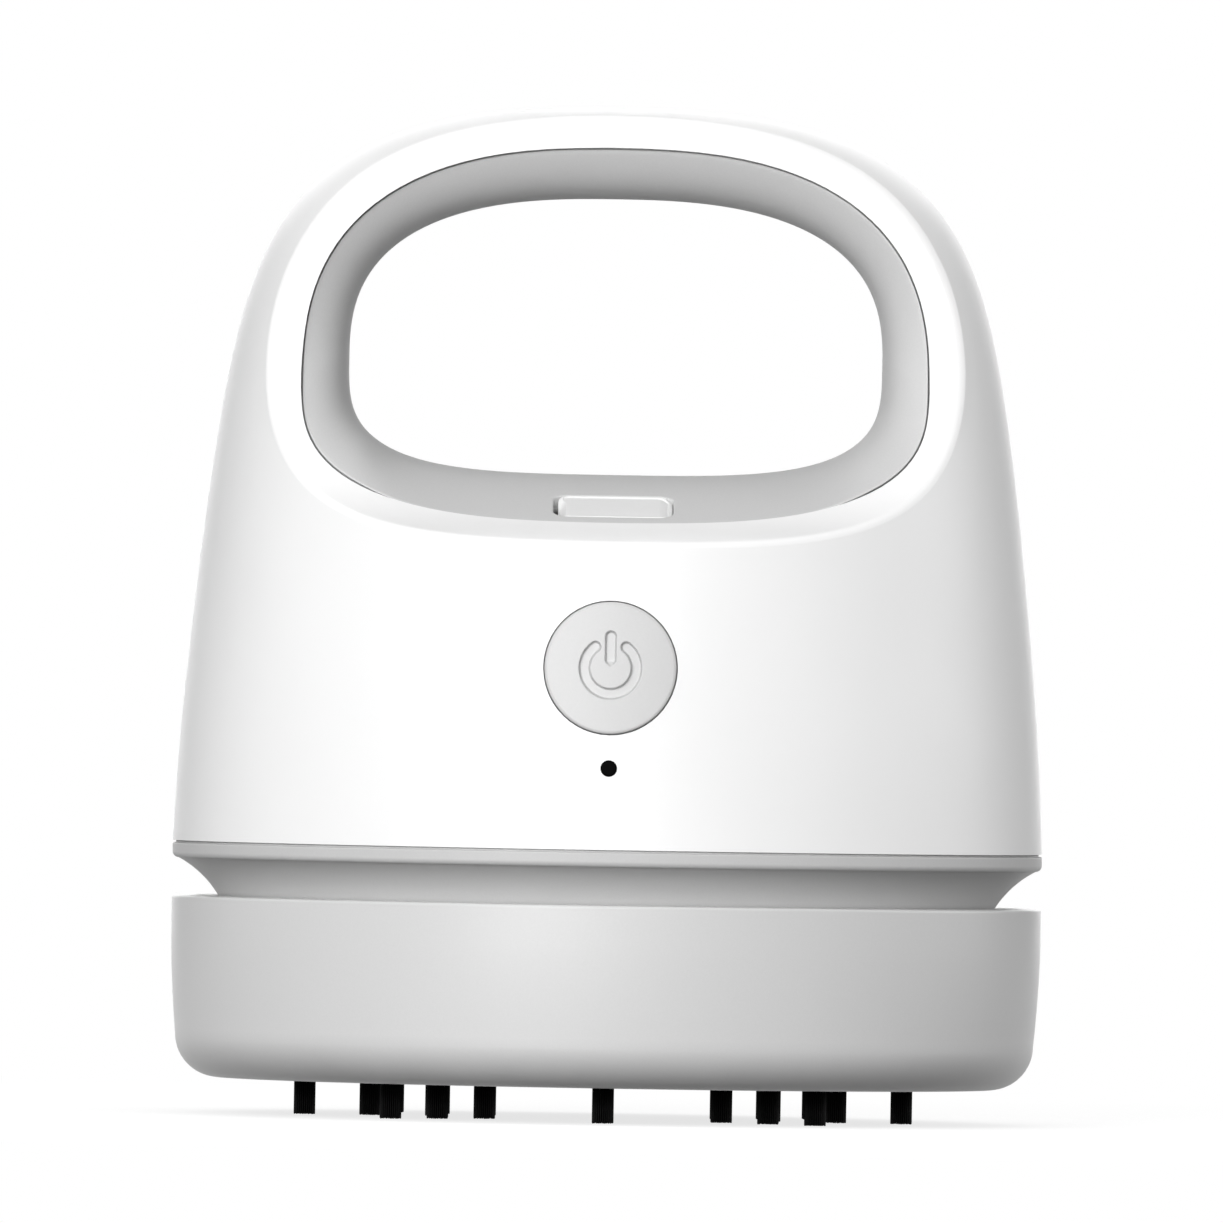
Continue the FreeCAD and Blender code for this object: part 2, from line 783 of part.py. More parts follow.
def screw_columns(core):
    """Columns inside the shell for its screws, each with a web to the wall."""
    reach = level("shell_screw_reach")
    base = level("shell_base")
    top = base + size("shell_boss_height")
    web = size("boss_web") / 2
    bore_top = level("deck_under") + size("big_screw_length") + size("screw_gap")
    columns = []
    bores = []
    for angle in (90, 210, 330):
        turn = Placement(Vector(0, 0, 0), Rotation(Vector(0, 0, 1), angle))
        column = rod(size("shell_boss_radius"), Vector(reach, 0, base), Vector(reach, 0, top))
        fin = block(Vector(reach, -web, base + size("rib_height") + size("shell_gap")),
                    Vector(size("base_radius"), web, top))
        column = column.fuse(fin)
        bore = rod(size("big_shank"), Vector(reach, 0, base), Vector(reach, 0, bore_top))
        column.Placement = turn
        bore.Placement = turn
        columns.append(column.common(core))
        bores.append(bore)
    return columns, bores


def board_posts(core):
    """Posts on the inside of the shell's front that hold the circuit board."""
    posts = []
    bores = []
    face = level("board_face")
    half = size("board_screw_spread") / 2
    low = level("board_base") + size("board_screw_inset")
    high = level("board_top") - size("board_screw_inset")
    depth = size("small_screw_length") - size("board_thickness") + size("screw_gap")
    for x in (-half, half):
        for z in (low, high):
            start = Vector(x, -face, z)
            post = rod(size("board_boss_radius"), start, Vector(x, -size("base_radius"), z))
            posts.append(post.common(core))
            bores.append(rod(size("small_shank"), start, Vector(x, -face - depth, z)))
    return posts, bores


def air_outlets():
    """Upright slots with round ends through the back of the shell."""
    radius = size("slot_width") / 2
    low = level("shell_base") + size("slot_sill") + radius
    high = low + size("slot_height") - 2 * radius
    near, far = size("base_radius") - 3 * size("shell_wall"), size("base_radius") + size("shell_wall")
    slots = []
    count = int(size("slots_each_side"))
    for step in [s for s in range(-count, count + 1) if s != 0]:
        slot = block(Vector(near, -radius, low), Vector(far, radius, high))
        for z in (low, high):
            slot = slot.fuse(rod(radius, Vector(near, 0, z), Vector(far, 0, z)))
        angle = 90 + step * size("slot_step")
        slot.Placement = Placement(Vector(0, 0, 0), Rotation(Vector(0, 0, 1), angle))
        slots.append(slot)
    return slots


def make_upper_shell():
    """Domed housing with the loop handle, its inner bosses and its openings."""
    core = dome(size("shell_wall") / 2).cut(scoop_pair(size("shell_wall") / 2)).Solids[0]
    shell = shell_body()
    columns, bores = screw_columns(core)
    posts, post_bores = board_posts(core)
    far = size("base_radius")
    button = level("button_level")
    reach = dome_reach(button, size("shell_wall"))
    sleeve_end = reach - size("sleeve_length")
    sleeve = rod(level("sleeve_bore") + size("sleeve_wall"), Vector(0, -sleeve_end, button),
                 Vector(0, -far, button)).common(core)
    shell = shell.fuse(columns + posts + [sleeve])
    flat = math.sqrt(reach ** 2 - level("sleeve_bore") ** 2)
    sleeve_bore = rod(level("sleeve_bore"), Vector(0, -sleeve_end, button), Vector(0, -flat, button))
    hollow = dome(size("shell_wall"))
    cuts = [sleeve_bore.common(hollow)] + bores + post_bores + air_outlets()
    cuts.append(rod(size("button_radius") + size("button_gap"), Vector(0, -sleeve_end, button),
                    Vector(0, -2 * far, button)))
    light = level("light_level")
    light_wall = dome_reach(light, size("shell_wall"))
    cuts.append(rod(size("light_radius"), Vector(0, -sleeve_end, light), Vector(0, -far - 1, light)))
    cuts.append(rod(size("light_collar") + size("button_gap"), Vector(0, -level("board_face"), light),
                    Vector(0, -light_wall, light)))
    cuts.append(mouth_prism())
    rebate = mouth_prism(size("rebate_width") + size("half_gap"))
    cuts.append(rebate.cut(scoop_pair(size("mouth_step"))))
    cuts.append(port_recess())
    return shell.cut(cuts)


def make_liners():
    """Front and rear halves of the finger opening's lining, each with two screw bosses."""
    skin = size("liner_skin")
    tunnel = lining(0.0)
    half = lining(skin)
    far = 2 * size("base_radius")
    gap = size("half_gap") / 2
    front_side = block(Vector(-far, -far, 0), Vector(far, -gap, 2 * far))
    front = half.cut(tunnel).common(front_side)
    front = front.cut(scoop_pair(size("mouth_step") + size("fit_gap"))[0])
    front = front.common(mouth_prism(size("rebate_width")))
    spread = level("liner_screw_reach")
    z = level("liner_screw_level")
    bosses = []
    holes = []
    length = size("liner_boss_length")
    for x in (-spread, spread):
        boss = rod(size("liner_boss_radius"), Vector(x, -length, z), Vector(x, -gap, z))
        web = block(Vector(x - size("boss_web") / 2, -length, z),
                    Vector(x + size("boss_web") / 2, -gap, level("grip_floor")))
        bosses += [boss, web.cut(tunnel)]
        holes.append(rod(size("small_shank"), Vector(x, 0, z),
                         Vector(x, size("liner_boss_end") - length, z)))
    front = front.fuse(bosses)
    rear = front.mirror(Vector(0, 0, 0), Vector(0, 1, 0))
    through = []
    for x in (-spread, spread):
        through.append(rod(size("small_shank") + size("screw_gap"), Vector(x, -1, z),
                           Vector(x, length + 1, z)))
    return front.cut(holes + [port_recess()]).removeSplitter(), rear.cut(through).removeSplitter()


def make_port_cover():
    """Dished cover of the charging port, flush with the ramp, with a nail notch at its left."""
    length, width = size("cover_length"), size("cover_width")
    rim, corner = size("cover_rim"), size("cover_corner")
    cover = rounded_block(length, width, corner, -size("cover_thickness"), 0.0)
    floor = rounded_outline(size("dish_length"), size("dish_width"), corner - rim, -size("dish_depth"))
    brim = rounded_outline(length - 2 * rim, width - 2 * rim, corner - rim, 0.0)
    dish = Part.makeLoft([floor, brim], True, True)
    reach = width / 2 - corner
    notch = block(Vector(-length, -reach, -size("notch_depth")),
                  Vector(size("notch_width") - length / 2, reach, 1.0))
    cover = cover.cut([dish, notch])
    cover.Placement = port_frame()
    return cover


def power_symbol(depth_from, depth_to):
    """A broken ring with an upright bar in the gap, as a cutter along Y."""
    middle = level("button_level")
    stroke = size("symbol_stroke") / 2
    radius = size("symbol_radius")
    centre = Vector(0, -depth_from, middle)
    inward = Vector(0, -depth_to, middle)
    ring = rod(radius + stroke, centre, inward).cut(rod(radius - stroke, centre, inward))
    half = size("symbol_gap") / 2
    gap = block(Vector(-half, -depth_from, middle), Vector(half, -depth_to, middle + 2 * radius))
    top = middle + radius + size("symbol_bar_rise")
    half = size("symbol_bar_width") / 2
    bar = block(Vector(-half, -depth_from, top - size("symbol_bar")), Vector(half, -depth_to, top))
    return ring.cut(gap).fuse(bar)


def make_power_button():
    """Button cap that follows the dome, with a flange behind the wall and a stem."""
    middle = level("button_level")
    reach = dome_reach(middle, size("shell_wall"))
    flange_face = math.sqrt(reach ** 2 - size("flange_radius") ** 2) - size("button_gap")
    flange_back = flange_face - size("flange_thickness")
    front = size("base_radius") + size("button_proud") + 1
    cap = rod(size("button_radius"), Vector(0, -flange_back, middle), Vector(0, -front, middle))
    cap = cap.common(dome(-size("button_proud")))
    flange = rod(size("flange_radius"), Vector(0, -flange_back, middle),
                 Vector(0, -flange_face, middle))
    stem = rod(size("stem_radius"), Vector(0, -level("stem_tip"), middle),
               Vector(0, -flange_face, middle))
    face = dome_reach(middle) + size("button_proud")
    symbol = power_symbol(front, face - size("symbol_depth"))
    return cap.fuse([flange, stem]).cut(symbol).removeSplitter()


def make_indicator_lens():
    """Dark light guide: a thin nose in the wall, a collar behind it."""
    z = level("light_level")
    inner = dome_reach(z, size("shell_wall")) - 2 * size("fit_gap")
    tip = dome_reach(z) - size("light_gap")
    back = level("board_face") + size("led_height") + size("light_gap")
    nose = rod(size("light_radius") - size("light_gap"), Vector(0, -back, z), Vector(0, -tip, z))
    collar = rod(size("light_collar"), Vector(0, -back, z), Vector(0, -inner, z))
    return nose.fuse(collar).removeSplitter()


def make_filter_element():
    """Pleated paper: one zigzag strip cut to a round."""
    radius = level("spigot_bore") - size("filter_rim") - size("fit_gap")
    pitch = size("pleat_pitch")
    paper = size("pleat_paper")
    low = level("filter_foot") + size("filter_bar")
    high = level("filter_top") - size("filter_bar") - paper
    count = int(2 * radius / pitch) + 1
    start = -count * pitch / 2
    ridge = []
    for step in range(2 * count + 1):
        ridge.append(Vector(start + step * pitch / 2, 0, high if step % 2 else low))
    over = [point + Vector(0, 0, paper) for point in ridge]
    sheet_face = Part.Face(Part.makePolygon(ridge + over[::-1] + ridge[:1]))
    strip = sheet_face.extrude(Vector(0, 4 * radius, 0))
    strip.translate(Vector(0, -2 * radius, 0))
    disc = Part.makeCylinder(radius, 2 * size("filter_height"), Vector(0, 0, low - paper))
    return strip.common(disc)


# ---------------------------------------------------------------- waist, filter, fan, motor

def repeat_boss(body, feature, round_the_fan):
    """Repeats a boss of the deck, or its hole: four round the fan, or two under the cradle."""
    if round_the_fan:
        turn_copies(body, feature, 4)
    else:
        mirror_copy(body, feature)


def make_chassis_ring():
    """Waist flange, hollow neck, spigot and deck in one moulding."""
    body = new_body("chassis_ring")
    outer = "sizes.base_radius"
    spigot = "levels.spigot_radius"
    groove = "levels.collar_bore - sizes.fit_gap - sizes.seal_section"
    under = "levels.flange_top - sizes.flange_drop - sizes.flange_edge"
    rib_out = "levels.shell_bore - sizes.shell_gap"
    rib_in = "levels.shell_bore - sizes.shell_gap - sizes.rib_wall"
    seal_low = "levels.seal_level - sizes.seal_section / 2"
    seal_high = "levels.seal_level + sizes.seal_section / 2"
    deck = "levels.shell_base"
    ledge = "levels.spigot_bore - sizes.filter_ledge"
    revolve(body, [
        ("sizes.inlet_eye", "levels.deck_under"),
        (ledge, "levels.deck_under"),
        (ledge, "levels.filter_top"),
        ("levels.spigot_bore", "levels.filter_top"),
        ("levels.spigot_bore", "levels.spigot_foot"),
        (spigot, "levels.spigot_foot"),
        (spigot, seal_low),
        (groove, seal_low),
        (groove, seal_high),
        (spigot, seal_high),
        (spigot, "levels.bin_rim", "sizes.neck_sweep", -1),
        (f"{outer} - sizes.flange_edge", under, "sizes.flange_edge", 1),
        (outer, f"{under} + sizes.flange_edge"),
        (outer, "levels.flange_top"),
        (f"{outer} - sizes.seam_depth", "levels.flange_top"),
        (f"{outer} - sizes.seam_depth", deck),
        (rib_out, deck),
        (rib_out, f"{deck} + sizes.rib_height"),
        (rib_in, f"{deck} + sizes.rib_height"),
        (rib_in, deck),
        ("sizes.inlet_eye", deck),
    ])
    ears = ("levels.ear_reach", "0")
    feet = ("levels.cradle_foot_middle", "levels.cell_reach")
    for place, top in ((ears, "levels.ear_top"), (feet, "levels.foot_top")):
        boss = extrude(body, "XY_Plane", "levels.deck_boss_foot",
                       "levels.deck_under - levels.deck_boss_foot",
                       circles=[(*place, "sizes.deck_boss_radius")])
        repeat_boss(body, boss, place is ears)
        tip = f"{top} - sizes.small_screw_length - sizes.screw_gap"
        hole = extrude(body, "XY_Plane", tip, "sizes.small_screw_length",
                       circles=[(*place, "sizes.small_shank")], cut=True)
        repeat_boss(body, hole, place is ears)
    hole = extrude(body, "XY_Plane", "levels.deck_under - 1", "sizes.deck_thickness + 2",
                   circles=[("0", "levels.shell_screw_reach", "sizes.big_shank + sizes.screw_gap")],
                   cut=True)
    turn_copies(body, hole, 3)


def make_bin_seal():
    """O-ring in the spigot's groove."""
    ring = doc.addObject("Part::Torus", "bin_seal")
    ring.Label = "bin_seal"
    ring.setExpression("Radius2", "sizes.seal_section / 2")
    ring.setExpression("Radius1", "levels.collar_bore - sizes.fit_gap - sizes.seal_section / 2")
    ring.setExpression("Placement.Base.z", "levels.seal_level")
    PARTS["bin_seal"] = ring


def make_filter_frame():
    """Round rim with a cross of bars above and below the pleats."""
    body = new_body("filter_frame")
    outer = "levels.spigot_bore - sizes.fit_gap"
    inner = "levels.spigot_bore - sizes.filter_rim"
    revolve(body, [(inner, "levels.filter_foot"), (outer, "levels.filter_foot"),
                   (outer, "levels.filter_top"), (inner, "levels.filter_top")])
    across = "2 * levels.spigot_bore - sizes.filter_rim"
    for foot in ("levels.filter_foot", "levels.filter_top - sizes.filter_bar"):
        for wide, tall in ((across, "sizes.filter_bar"), ("sizes.filter_bar", across)):
            extrude(body, "XY_Plane", foot, "sizes.filter_bar", [rectangle("0", "0", wide, tall)])


def make_fan_housing():
    """Inverted cup over the impeller: the motor stands on its roof, ears hold it down."""
    body = new_body("fan_housing")
    outer, inner = "levels.fan_radius", "levels.fan_radius - sizes.fan_wall"
    nose = "sizes.motor_nose_radius + sizes.motor_nose_gap"
    revolve(body, [(inner, "levels.shell_base"), (outer, "levels.shell_base"),
                   (outer, "levels.motor_seat"), (nose, "levels.motor_seat"),
                   (nose, "levels.fan_ceiling"), (inner, "levels.fan_ceiling")])
    ear = extrude(body, "XY_Plane", "levels.shell_base", "sizes.ear_thickness",
                  [rectangle("(levels.ear_reach + levels.fan_radius - sizes.fan_wall / 2) / 2", "0",
                             "levels.ear_reach - levels.fan_radius + sizes.fan_wall / 2",
                             "2 * sizes.ear_radius")])
    turn_copies(body, ear, 4)
    tip = extrude(body, "XY_Plane", "levels.shell_base", "sizes.ear_thickness",
                  circles=[("levels.ear_reach", "0", "sizes.ear_radius - sizes.fit_gap")])
    turn_copies(body, tip, 4)
    hole = extrude(body, "XY_Plane", "levels.shell_base - 1", "sizes.ear_thickness + 2",
                   circles=[("levels.ear_reach", "0", "sizes.small_shank + sizes.screw_gap")], cut=True)
    turn_copies(body, hole, 4)
    clear = extrude(body, "XY_Plane", "levels.shell_base - 1", "sizes.fan_chamber + 1",
                    circles=[("0", "0", inner)], cut=True)
    window = extrude(body, "XZ_Plane", inner + " - 2", "sizes.fan_wall + 4",
                     [rectangle("0", "levels.shell_base + sizes.fan_window_sill"
                                " + sizes.fan_window_height / 2",
                                "sizes.fan_window_width", "sizes.fan_window_height")], cut=True)
    clear.Label = "fan_chamber_bore"
    turn_copies(body, window, "sizes.fan_window_count")
    hole = extrude(body, "XY_Plane", "levels.fan_ceiling - 1", "sizes.fan_roof + 2",
                   circles=[("sizes.motor_screw_reach", "0", "sizes.small_shank + sizes.screw_gap")],
                   cut=True)
    turn_copies(body, hole, 2)


def make_impeller():
    """Open wheel: a disc and hub above a ring of leaning blades."""
    body = new_body("impeller")
    bore, hub, rim = "sizes.shaft_radius", "sizes.hub_radius", "levels.impeller_radius"
    revolve(body, [(bore, "levels.impeller_foot"), (hub, "levels.impeller_foot"),
                   (hub, "levels.impeller_disc_foot"), (rim, "levels.impeller_disc_foot"),
                   (rim, "levels.impeller_disc_top"), (hub, "levels.impeller_disc_top"),
                   (hub, "levels.hub_top"), (bore, "levels.hub_top")])
    lean = "sin(sizes.blade_lean * 1deg)"
    reach = "(levels.impeller_radius - sizes.blade_root - sizes.blade_tip_gap)"
    root = "sizes.blade_root"
    thick = "sizes.blade_thickness"
    blade = extrude(body, "XY_Plane", "levels.impeller_foot", "sizes.blade_height",
                    [[(root, f"-{thick} / 2"), (f"{root} + {reach}", f"{reach} * {lean} / 2"),
                      (f"{root} + {reach}", f"{reach} * {lean} / 2 + {thick}"),
                      (root, f"{thick} / 2")]])
    turn_copies(body, blade, "sizes.blade_count")


def make_motor():
    """Motor can with its nose, its end cap, its two terminals and the shaft."""
    body = new_body("motor_can")
    bore = "sizes.shaft_radius + sizes.shaft_gap"
    bore_top = "levels.motor_seat + sizes.shaft_depth"
    rim, nose = "sizes.motor_radius", "sizes.motor_nose_radius"
    revolve(body, [(bore, "levels.fan_ceiling"), (nose, "levels.fan_ceiling"),
                   (nose, "levels.motor_seat"), (rim, "levels.motor_seat"),
                   (rim, "levels.motor_top"), ("0", "levels.motor_top"), ("0", bore_top),
                   (bore, bore_top)])
    hole = extrude(body, "XY_Plane", "levels.motor_seat - 1", "sizes.motor_screw_length",
                   circles=[("sizes.motor_screw_reach", "0", "sizes.small_shank")], cut=True)
    turn_copies(body, hole, 2)
    body = new_body("motor_end_cap")
    extrude(body, "XY_Plane", "levels.motor_top", "sizes.motor_cap_height",
            circles=[("0", "0", "sizes.motor_cap_radius")])
    body = new_body("motor_terminals")
    tab = extrude(body, "XY_Plane", "levels.motor_cap_top", "sizes.terminal_height",
                  [rectangle("sizes.terminal_spread / 2", "0", "sizes.terminal_thickness",
                             "sizes.terminal_width")])
    mirror_copy(body, tab)
    shaft = doc.addObject("Part::Cylinder", "motor_shaft")
    shaft.Label = "motor_shaft"
    shaft.setExpression("Radius", "sizes.shaft_radius")
    shaft.setExpression("Height", f"{bore_top} - levels.impeller_foot - sizes.shaft_gap")
    shaft.setExpression("Placement.Base.z", "levels.impeller_foot")
    PARTS["motor_shaft"] = shaft


# ---------------------------------------------------------------- battery and electronics

def make_battery():
    """Cell lying across the body behind the motor, and the cradle that holds it."""
    body = new_body("battery_cell")
    half = "sizes.cell_length / 2"
    corner = "sizes.cell_radius"
    neck = f"{half} - sizes.cell_nub"
    revolve(body, [(f"-({half})", "0"), (f"-({half})", corner), (neck, corner),
                   (neck, "sizes.cell_nub_radius"), (half, "sizes.cell_nub_radius"), (half, "0")],
            axis="H_Axis")
    body.setExpression("Placement.Base.y", "levels.cell_reach")
    body.setExpression("Placement.Base.z", "levels.cell_level")
    body = new_body("battery_cradle")
    middle = "levels.cell_reach"
    depth = "2 * (sizes.cell_radius - sizes.cradle_side + sizes.cradle_gap) + 4 * sizes.cradle_side"
    tall = "levels.cell_level - levels.shell_base"
    near = "levels.cradle_reach - sizes.cradle_plate / 2"
    saddle = extrude(body, "YZ_Plane", near, "sizes.cradle_plate",
                     [rectangle(middle, f"levels.shell_base + ({tall}) / 2", depth, tall)])
    mirror_copy(body, saddle)
    web_foot = "(levels.shell_base + sizes.shell_boss_height + sizes.cradle_web_gap)"
    web = extrude(body, "YZ_Plane", f"-({near})", f"2 * ({near})",
                  [rectangle(f"{middle} + ({depth}) / 2 - sizes.cradle_side / 2",
                             f"{web_foot} + sizes.cradle_web_height / 2",
                             "sizes.cradle_side", "sizes.cradle_web_height")])
    web.Label = "cradle_web"
    seat = extrude(body, "YZ_Plane", "-sizes.cell_length", "2 * sizes.cell_length",
                   circles=[(middle, "levels.cell_level", "sizes.cell_radius + sizes.cradle_gap")],
                   cut=True)
    seat.Label = "cradle_seat"
    relief = extrude(body, "XY_Plane", "levels.shell_base",
                     "levels.motor_seat - levels.shell_base + sizes.cradle_relief",
                     circles=[("0", "0", "levels.fan_radius + sizes.cradle_relief")], cut=True)
    relief.Label = "cradle_relief"
    foot = extrude(body, "XY_Plane", "levels.shell_base", "sizes.foot_thickness",
                   [rectangle("levels.cradle_foot_middle - sizes.cradle_plate / 4", middle,
                              "sizes.foot_length + sizes.cradle_plate / 2", "sizes.foot_length")])
    mirror_copy(body, foot)
    hole = extrude(body, "XY_Plane", "levels.shell_base - 1", "sizes.foot_thickness + 2",
                   circles=[("levels.cradle_foot_middle", middle, "sizes.small_shank + sizes.screw_gap")],
                   cut=True)
    mirror_copy(body, hole)


def make_circuit_board():
    """Upright board behind the button, with four screw holes."""
    body = new_body("circuit_board")
    extrude(body, "XZ_Plane", "levels.board_back", "sizes.board_thickness",
            [rectangle("0", "(levels.board_base + levels.board_top) / 2",
                       "sizes.board_width", "levels.board_top - levels.board_base")])
    bore = "sizes.small_shank + sizes.screw_gap"
    for row in ("levels.board_base + sizes.board_screw_inset",
                "levels.board_top - sizes.board_screw_inset"):
        hole = extrude(body, "XZ_Plane", "levels.board_back - 1", "sizes.board_thickness + 2",
                       circles=[("sizes.board_screw_spread / 2", row, bore)], cut=True)
        mirror_copy(body, hole)


def make_switch():
    """Push switch on the board, its plunger, and the light beside it."""
    body = new_body("push_switch")
    side = "sizes.switch_side"
    extrude(body, "XZ_Plane", "levels.board_face", "sizes.switch_height",
            [rectangle("0", "levels.button_level", side, side)])
    room = "sizes.plunger_radius + sizes.plunger_gap"
    extrude(body, "XZ_Plane", "levels.board_face + sizes.switch_floor", "sizes.switch_height",
            circles=[("0", "levels.button_level", room)], cut=True)
    body = new_body("switch_plunger")
    start = "levels.board_face + sizes.switch_floor + sizes.plunger_room + sizes.button_travel"
    extrude(body, "XZ_Plane", start, f"levels.plunger_tip - ({start})",
            circles=[("0", "levels.button_level", "sizes.plunger_radius")])
    body = new_body("indicator_led")
    extrude(body, "XZ_Plane", "levels.board_face", "sizes.led_height",
            [rectangle("0", "levels.light_level", "sizes.led_side", "sizes.led_side")])


def make_charge_socket():
    """Charging socket: a flattened metal tube, closed at the foot, with a tongue."""
    width, depth = size("socket_width"), size("socket_depth")
    wall = size("socket_wall")
    top = port_frame().Base.z - size("port_setback")
    foot = top - size("socket_length")
    corner = size("socket_corner")
    can = rounded_block(width, depth, corner, foot, top)
    inside = rounded_block(width - 2 * wall, depth - 2 * wall, corner - wall, foot + 3 * wall, top + 1)
    half = size("tongue_width") / 2
    thin = size("tongue_depth") / 2
    tongue = block(Vector(-half, -thin, foot), Vector(half, thin, top - 2 * wall))
    socket = can.cut(inside).fuse(tongue)
    socket.translate(Vector(0, -level("port_reach"), 0))
    return socket.removeSplitter()


# ---------------------------------------------------------------- dust cup

def make_dust_bin():
    """Cup with a leaning wall, a round foot and a floor ring that carries the plate."""
    body = new_body("dust_bin")
    outer, wall = "sizes.base_radius", "sizes.bin_wall"
    lean = f"{outer} - sizes.bin_lean"
    shoulder = "levels.bin_rim - sizes.bin_straight"
    knee = "levels.bin_base + sizes.bin_corner"
    foot = f"{lean} - sizes.bin_corner"
    inner_foot = "sizes.bin_corner - sizes.bin_wall"
    ring = "levels.plate_radius + sizes.plate_gap"
    revolve(body, [
        (ring, "levels.bin_base"),
        (foot, "levels.bin_base", "sizes.bin_corner", 1),
        (lean, knee, "sizes.bin_bulge", 1),
        (outer, shoulder),
        (outer, "levels.bin_rim - sizes.rim_round", "sizes.rim_round", 1),
        (f"{outer} - sizes.rim_round", "levels.bin_rim"),
        ("levels.bin_bore", "levels.bin_rim"),
        ("levels.bin_bore", shoulder),
        (f"{lean} - {wall}", knee, inner_foot, -1),
        (f"{lean} - {wall} - ({inner_foot})", "levels.bin_floor_top"),
        (ring, "levels.bin_floor_top"),
    ])


def make_bin_collar():
    """Ring in the cup's rim: a flange under the rim and a sleeve for the seal."""
    body = new_body("bin_collar")
    bore, outer = "levels.collar_bore", "levels.bin_bore - sizes.fit_gap"
    sleeve = f"{bore} + sizes.collar_sleeve"
    foot = "levels.spigot_foot"
    revolve(body, [(bore, foot), (sleeve, foot), (sleeve, "levels.bin_rim - sizes.collar_flange"),
                   (outer, "levels.bin_rim - sizes.collar_flange"), (outer, "levels.bin_rim"),
                   (bore, "levels.bin_rim")])


def make_brush_plate():
    """Floor insert: tuft sockets below, the suction inlet and its riser in the middle."""
    body = new_body("brush_plate")
    bore, riser = "sizes.suction_radius", "levels.riser_radius"
    rim, flange = "levels.plate_radius", "levels.plate_radius + sizes.plate_ledge"
    revolve(body, [(bore, "levels.bin_base"), (rim, "levels.bin_base"), (rim, "levels.bin_floor_top"),
                   (flange, "levels.bin_floor_top"), (flange, "levels.plate_top"),
                   (riser, "levels.plate_top"), (riser, "levels.riser_top"),
                   (bore, "levels.riser_top")])
    for ring in ("inner", "middle", "outer"):
        socket = extrude(body, "XY_Plane", "levels.bin_base - 1", "sizes.tuft_socket + 1",
                         circles=[(f"levels.tuft_ring_{ring}", "0", "sizes.tuft_radius")], cut=True)
        turn_copies(body, socket, "sizes.row_count")


def make_bristles():
    """Three rings of tufts, one in each ring for every row."""
    for ring in ("inner", "middle", "outer"):
        body = new_body(f"bristles_{ring}")
        tuft = extrude(body, "XY_Plane", "0", "levels.bin_base + sizes.tuft_socket",
                       circles=[(f"levels.tuft_ring_{ring}", "0", "sizes.tuft_radius")])
        turn_copies(body, tuft, "sizes.row_count")


def make_inlet_baffle():
    """Hood over the riser on four legs that grip it."""
    body = new_body("inlet_baffle")
    grip = "levels.riser_radius + sizes.fit_gap"
    leg_out = f"{grip} + sizes.baffle_leg"
    under, top = "levels.baffle_under", "levels.baffle_under + sizes.baffle_thickness"
    revolve(body, [("0", under), ("sizes.baffle_radius", under), ("sizes.baffle_radius", top), ("0", top)])
    leg = extrude(body, "XY_Plane", "levels.plate_top + sizes.fit_gap",
                  f"{under} - levels.plate_top - sizes.fit_gap",
                  [rectangle(f"({grip} + {leg_out}) / 2", "0", "sizes.baffle_leg", "2 * sizes.baffle_leg")])
    turn_copies(body, leg, 4)


# ---------------------------------------------------------------- screws

def make_screw(name, plane, offset, place, head, shank, head_height, length, sign=1):
    """A screw whose head lies at an offset along a plane's normal.

    sign 1 sends the shank forward along the normal, and -1 sends it back.
    """
    body = new_body(name)
    head_start = offset if sign < 0 else f"{offset} - {head_height}"
    extrude(body, plane, head_start, head_height, circles=[(*place, head)])
    shank_start = f"{offset} - ({length})" if sign < 0 else offset
    extrude(body, plane, shank_start, length, circles=[(*place, shank)])
    return body


def copy_both(body, copier, *details):
    """Repeats a screw's head and shank with the same pattern."""
    features = [item for item in body.Group if item.TypeId == "PartDesign::Pad"]
    pattern = copier(body, features[0], *details)
    pattern.Originals = features


def make_screws():
    """Every set of screws."""
    small = ("sizes.small_head", "sizes.small_shank", "sizes.small_head_height")
    big = ("sizes.big_head", "sizes.big_shank", "sizes.big_head_height")
    body = make_screw("shell_screws", "XY_Plane", "levels.deck_under",
                      ("0", "levels.shell_screw_reach"), *big, "sizes.big_screw_length")
    copy_both(body, turn_copies, 3)
    body = make_screw("fan_screws", "XY_Plane", "levels.ear_top", ("levels.ear_reach", "0"), *small,
                      "sizes.small_screw_length", sign=-1)
    copy_both(body, turn_copies, 4)
    body = make_screw("motor_screws", "XY_Plane", "levels.fan_ceiling",
                      ("sizes.motor_screw_reach", "0"), *small, "sizes.motor_screw_length")
    copy_both(body, turn_copies, 2)
    body = make_screw("cradle_screws", "XY_Plane", "levels.foot_top",
                      ("levels.cradle_foot_middle", "levels.cell_reach"), *small,
                      "sizes.small_screw_length", sign=-1)
    copy_both(body, mirror_copy)
    rows = {"lower": "levels.board_base + sizes.board_screw_inset",
            "upper": "levels.board_top - sizes.board_screw_inset"}
    for side, row in rows.items():
        body = make_screw(f"board_screws_{side}", "XZ_Plane", "levels.board_back",
                          ("sizes.board_screw_spread / 2", row), *small, "sizes.small_screw_length")
        copy_both(body, mirror_copy)
    body = make_screw("liner_screws", "XZ_Plane", "-sizes.liner_boss_length",
                      ("levels.liner_screw_reach", "levels.liner_screw_level"), *small,
                      "2 * sizes.liner_boss_length - sizes.liner_boss_end - sizes.screw_gap")
    copy_both(body, mirror_copy)


# ---------------------------------------------------------------- wires

